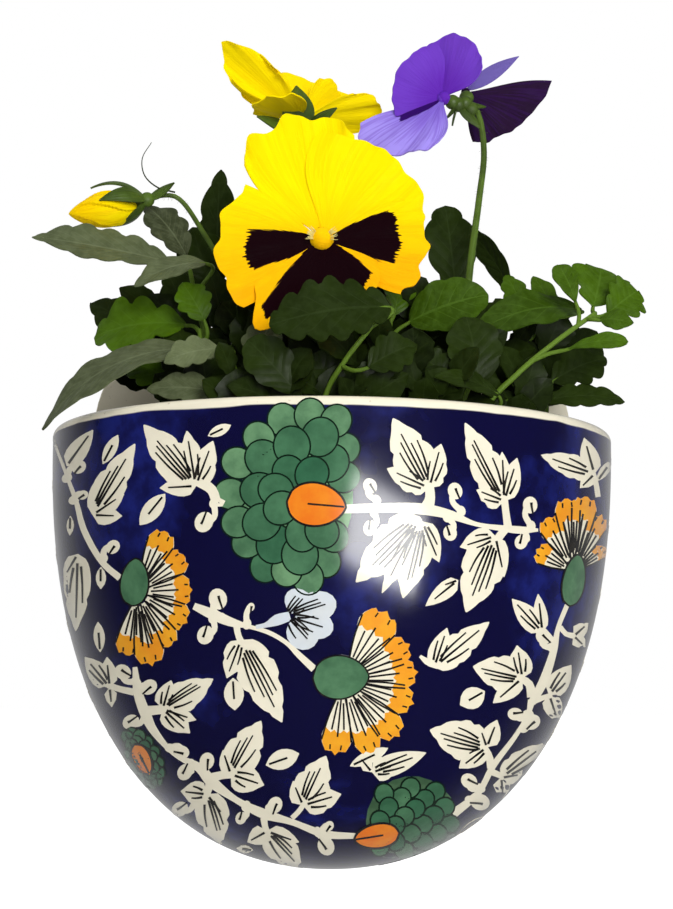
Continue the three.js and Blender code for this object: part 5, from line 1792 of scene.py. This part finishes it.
BACKDROP_STRENGTH = 1.0
WINDOW_PLACE = (0.53, -1.41, -0.22)
WINDOW_ROLL = math.radians(-12)
KEY_PLACE = (0.45, -1.3, 0.45)
OVERHEAD_PLACE = (-0.4, -0.3, 1.3)
OVERHEAD_SHARE = 0.35
AIM = Vector((0, -0.05, 0.03))
FRONT_GLOW = 0.03
BACK_GLOW = 0.4
FLOOR_HALF_SIZE = 12


def make_camera():
    camera = bpy.data.cameras.new("Camera")
    camera.sensor_fit = "AUTO"
    camera.sensor_width = SENSOR_MM
    camera.lens = FOCAL_PIXELS / PHOTO_HEIGHT * SENSOR_MM
    camera.clip_start = 0.01
    holder = bpy.data.objects.new("Camera", camera)
    turn = Matrix((CAMERA_RIGHT, CAMERA_UP, -CAMERA_AHEAD)).transposed().to_4x4()
    holder.matrix_world = Matrix.Translation(CAMERA_EYE * MM) @ turn
    bpy.context.scene.collection.objects.link(holder)
    bpy.context.scene.camera = holder


def area_light(name, place, width, height, power, roll=0, mirrored=False):
    """A soft rectangular light that faces the planter. A mirrored one shows only as gloss on it."""
    light = bpy.data.lights.new(name, "AREA")
    light.shape = "RECTANGLE"
    light.size, light.size_y = width, height
    light.energy = power
    holder = bpy.data.objects.new(name, light)
    holder.location = place
    aim = (AIM - holder.location).to_track_quat("-Z", "Y")
    holder.rotation_euler = (aim @ Quaternion((0, 0, 1), roll)).to_euler()
    holder.visible_glossy = mirrored
    holder.visible_diffuse = not mirrored
    bpy.context.scene.collection.objects.link(holder)


def make_floor():
    mesh = bmesh.new()
    bmesh.ops.create_grid(mesh, x_segments=1, y_segments=1, size=FLOOR_HALF_SIZE,
                          matrix=Matrix.Translation((0, 0, FLOOR_Z * MM)))
    floor = new_object("pale_floor", mesh)
    floor.visible_glossy = False
    finish = Finish("Pale floor")
    pale = finish.mix(finish.clouds(finish.spot, 3.0, 0.1), (0.93, 0.93, 0.93), (0.96, 0.96, 0.96))
    seen = finish.add("ShaderNodeLightPath").outputs["Is Camera Ray"]
    finish.dress({"Base Color": pale, "Roughness": 0.9, "Specular IOR Level": 0.1, "Emission Color": pale,
                  "Emission Strength": finish.between(seen, 0.0, 1.0, 0.05, BACKDROP_STRENGTH)})
    floor.data.materials.append(finish.material)


def make_surroundings():
    """White behind the planter, a dimmer pale room for its light, and a dark one in front for its gloss"""
    world = bpy.data.worlds.new("Pale room")
    bpy.context.scene.world = world
    world.use_nodes = True
    nodes = Nodes(world.node_tree)
    path = nodes.add("ShaderNodeLightPath").outputs
    backwards = nodes.split(nodes.add("ShaderNodeTexCoord").outputs["Generated"])[1]
    mirrored = nodes.between(backwards, 0.1, 0.95, FRONT_GLOW, BACK_GLOW)
    lighting = nodes.between(path["Is Glossy Ray"], 0.0, 1.0, settings().light.sky, mirrored)
    strength = nodes.between(path["Is Camera Ray"], 0.0, 1.0, lighting, BACKDROP_STRENGTH)
    nodes.feed(world.node_tree.nodes["Background"], {"Color": (1, 1, 1), "Strength": strength})


# Operators, one for each piece or group of like pieces

class PlanterOperator:
    bl_options = {"REGISTER", "UNDO"}


class MakeBowl(PlanterOperator, bpy.types.Operator):
    """Turn the glazed half-round bowl with its raised back"""
    bl_idname = "planter.make_bowl"
    bl_label = "Glazed bowl"

    def execute(self, context):
        make_bowl()
        return {"FINISHED"}


class PaintBowl(PlanterOperator, bpy.types.Operator):
    """Paint the flowers, leaves and branches on the bowl"""
    bl_idname = "planter.paint_bowl"
    bl_label = "Painting"

    def execute(self, context):
        paint_bowl()
        return {"FINISHED"}


class FillSoil(PlanterOperator, bpy.types.Operator):
    """Give the potting soil its crumbs"""
    bl_idname = "planter.fill_soil"
    bl_label = "Potting soil"

    def execute(self, context):
        material = soil_material("Potting soil")
        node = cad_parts["potting_soil"]
        node.data.materials.clear()
        node.data.materials.append(material)
        make_crumbs(material)
        return {"FINISHED"}


class GrowLeaves(PlanterOperator, bpy.types.Operator):
    """Grow the leafy stems"""
    bl_idname = "planter.grow_leaves"
    bl_label = "Leafy stems"

    def execute(self, context):
        for seed, (name, plan) in enumerate(LEAFY_STEMS.items()):
            leafy_stem(name, plan, random.Random(seed))
        make_undergrowth()
        return {"FINISHED"}


class GrowStalks(PlanterOperator, bpy.types.Operator):
    """Grow the flower stalks with their green cups"""
    bl_idname = "planter.grow_stalks"
    bl_label = "Flower stalks"

    def execute(self, context):
        for seed, (name, stalk) in enumerate(FLOWER_STALKS.items()):
            flower_stalk(name, stalk, seed)
        make_filament(stalk_material("Dry filament"))
        return {"FINISHED"}


YELLOW_LINE = (0.75, 0.3, 0.0)
BACK_YELLOW = (1, 0.76, 0)
BUD_YELLOW = (1, 0.64, 0)
FRONT_FADE = (152, 120)
WHISKER_COLOURS = ((0.75, 0.6, 0.12), (0.9, 0.8, 0.35))


class OpenYellowBlooms(PlanterOperator, bpy.types.Operator):
    """Open the two yellow blooms and roll the bud"""
    bl_idname = "planter.open_yellow_blooms"
    bl_label = "Yellow blooms"

    def execute(self, context):
        plants = settings().plants
        face = (plants.blotch, YELLOW_LINE)
        front = petal_material("Front bloom petals", plants.yellow, plants.golden, *face, 0.1, FRONT_FADE)
        back = petal_material("Back bloom petals", plants.yellow, BACK_YELLOW, *face, 0.06)
        make_bloom("bloom_front_corolla", "bloom_front_petals", "petal_yellow", FRONT_PETALS,
                   (FRONT_THROAT, FRONT_THROAT_RADIUS), front, 11)
        make_bloom("bloom_back_corolla", "bloom_back_petals", "petal_yellow", BACK_PETALS,
                   (BACK_THROAT, BACK_THROAT_RADIUS), back, 12)
        make_bud(petal_material("Bud petals", plants.yellow, BUD_YELLOW, *face, 0.2))
        whiskers = new_mesh()
        add_whiskers(whiskers, FRONT_THROAT, random.Random(3))
        pale = petal_material("Pale whiskers", *WHISKER_COLOURS, *face, 0)
        finish_piece("throat_whiskers", whiskers, [pale], "petal_yellow")
        return {"FINISHED"}


DARK_VIOLET = (0.03, 0.004, 0.12)
PALE_VIOLET = (0.17, 0.055, 0.55)
# Painted light: a paler violet for the narrow upper petal, for the light that falls on it, while the broad
# one keeps the dark plum
LIT_PLUM_VIOLET = (0.15, 0.11, 0.38)
DEEP_LAVENDER = (0.25, 0.16, 0.66)


class OpenVioletBloom(PlanterOperator, bpy.types.Operator):
    """Open the violet bloom"""
    bl_idname = "planter.open_violet_bloom"
    bl_label = "Violet bloom"

    def execute(self, context):
        plants = settings().plants
        violet = petal_material("Violet petals", plants.violet, PALE_VIOLET, DARK_VIOLET, PALE_VIOLET, 0.2)
        lip = petal_material("Lavender lip", DEEP_LAVENDER, plants.lavender, DARK_VIOLET, plants.violet, 0.35)
        plum = petal_material("Plum petals", plants.plum, plants.plum, LIT_PLUM_VIOLET, plants.violet, 0.06)
        make_bloom("bloom_violet_sides", "bloom_violet_petals", "petal_violet", VIOLET_PETALS,
                   (VIOLET_THROAT, VIOLET_THROAT_RADIUS), violet, 13)
        make_bloom("bloom_violet_lower", "bloom_violet_lip", "petal_lavender", LIP_PETALS, None, lip, 14)
        make_bloom("bloom_violet_dark", "bloom_violet_upper", "petal_plum", PLUM_PETALS,
                   (PLUM_THROAT, PLUM_THROAT_RADIUS), plum, 15, NARROW_PLUM_PETAL)
        return {"FINISHED"}


class SetStage(PlanterOperator, bpy.types.Operator):
    """Set the camera, the lights and the pale floor"""
    bl_idname = "planter.set_stage"
    bl_label = "Stage"

    def execute(self, context):
        light = settings().light
        context.scene.view_settings.view_transform = "Standard"
        make_camera()
        make_floor()
        make_surroundings()
        area_light("Window", WINDOW_PLACE, 0.8, 0.42, light.window, WINDOW_ROLL, mirrored=True)
        area_light("Key", KEY_PLACE, 0.7, 0.7, light.key)
        area_light("Overhead", OVERHEAD_PLACE, 1.0, 1.0, light.key * OVERHEAD_SHARE)
        return {"FINISHED"}


STEPS = (SetStage, MakeBowl, PaintBowl, FillSoil, GrowLeaves, GrowStalks, OpenYellowBlooms, OpenVioletBloom)


class PlanterPanel(bpy.types.Panel):
    """Lists the planter's steps in the sidebar"""
    bl_idname = "VIEW3D_PT_pansy_planter"
    bl_label = "Pansy planter"
    bl_space_type = "VIEW_3D"
    bl_region_type = "UI"
    bl_category = "Planter"

    def draw(self, context):
        for step in STEPS:
            self.layout.operator(step.bl_idname)
        for group in (settings().glaze, settings().plants, settings().light):
            box = self.layout.box()
            for key in group.bl_rna.properties.keys():
                if key not in ("rna_type", "name"):
                    box.prop(group, key)


class PlanterSettings(bpy.types.PropertyGroup):
    """Everything that a user may change"""
    glaze: PointerProperty(type=PlanterGlaze, name="Glaze", description="Glaze colours and gloss")
    plants: PointerProperty(type=PlanterPlants, name="Plants", description="Plant colours and fineness")
    light: PointerProperty(type=PlanterLight, name="Light", description="Studio light")


CLASSES = (PlanterGlaze, PlanterPlants, PlanterLight, PlanterSettings, *STEPS, PlanterPanel)


def register():
    for kind in CLASSES:
        bpy.utils.register_class(kind)
    bpy.types.Scene.pansy_planter = PointerProperty(type=PlanterSettings)


def unregister():
    del bpy.types.Scene.pansy_planter
    for kind in reversed(CLASSES):
        bpy.utils.unregister_class(kind)


def main():
    register()
    for step in STEPS:
        name = step.bl_idname.split(".")[1]
        if "FINISHED" not in getattr(bpy.ops.planter, name)():
            raise RuntimeError(f"{name} didn't finish")


if __name__ == "__main__":
    main()
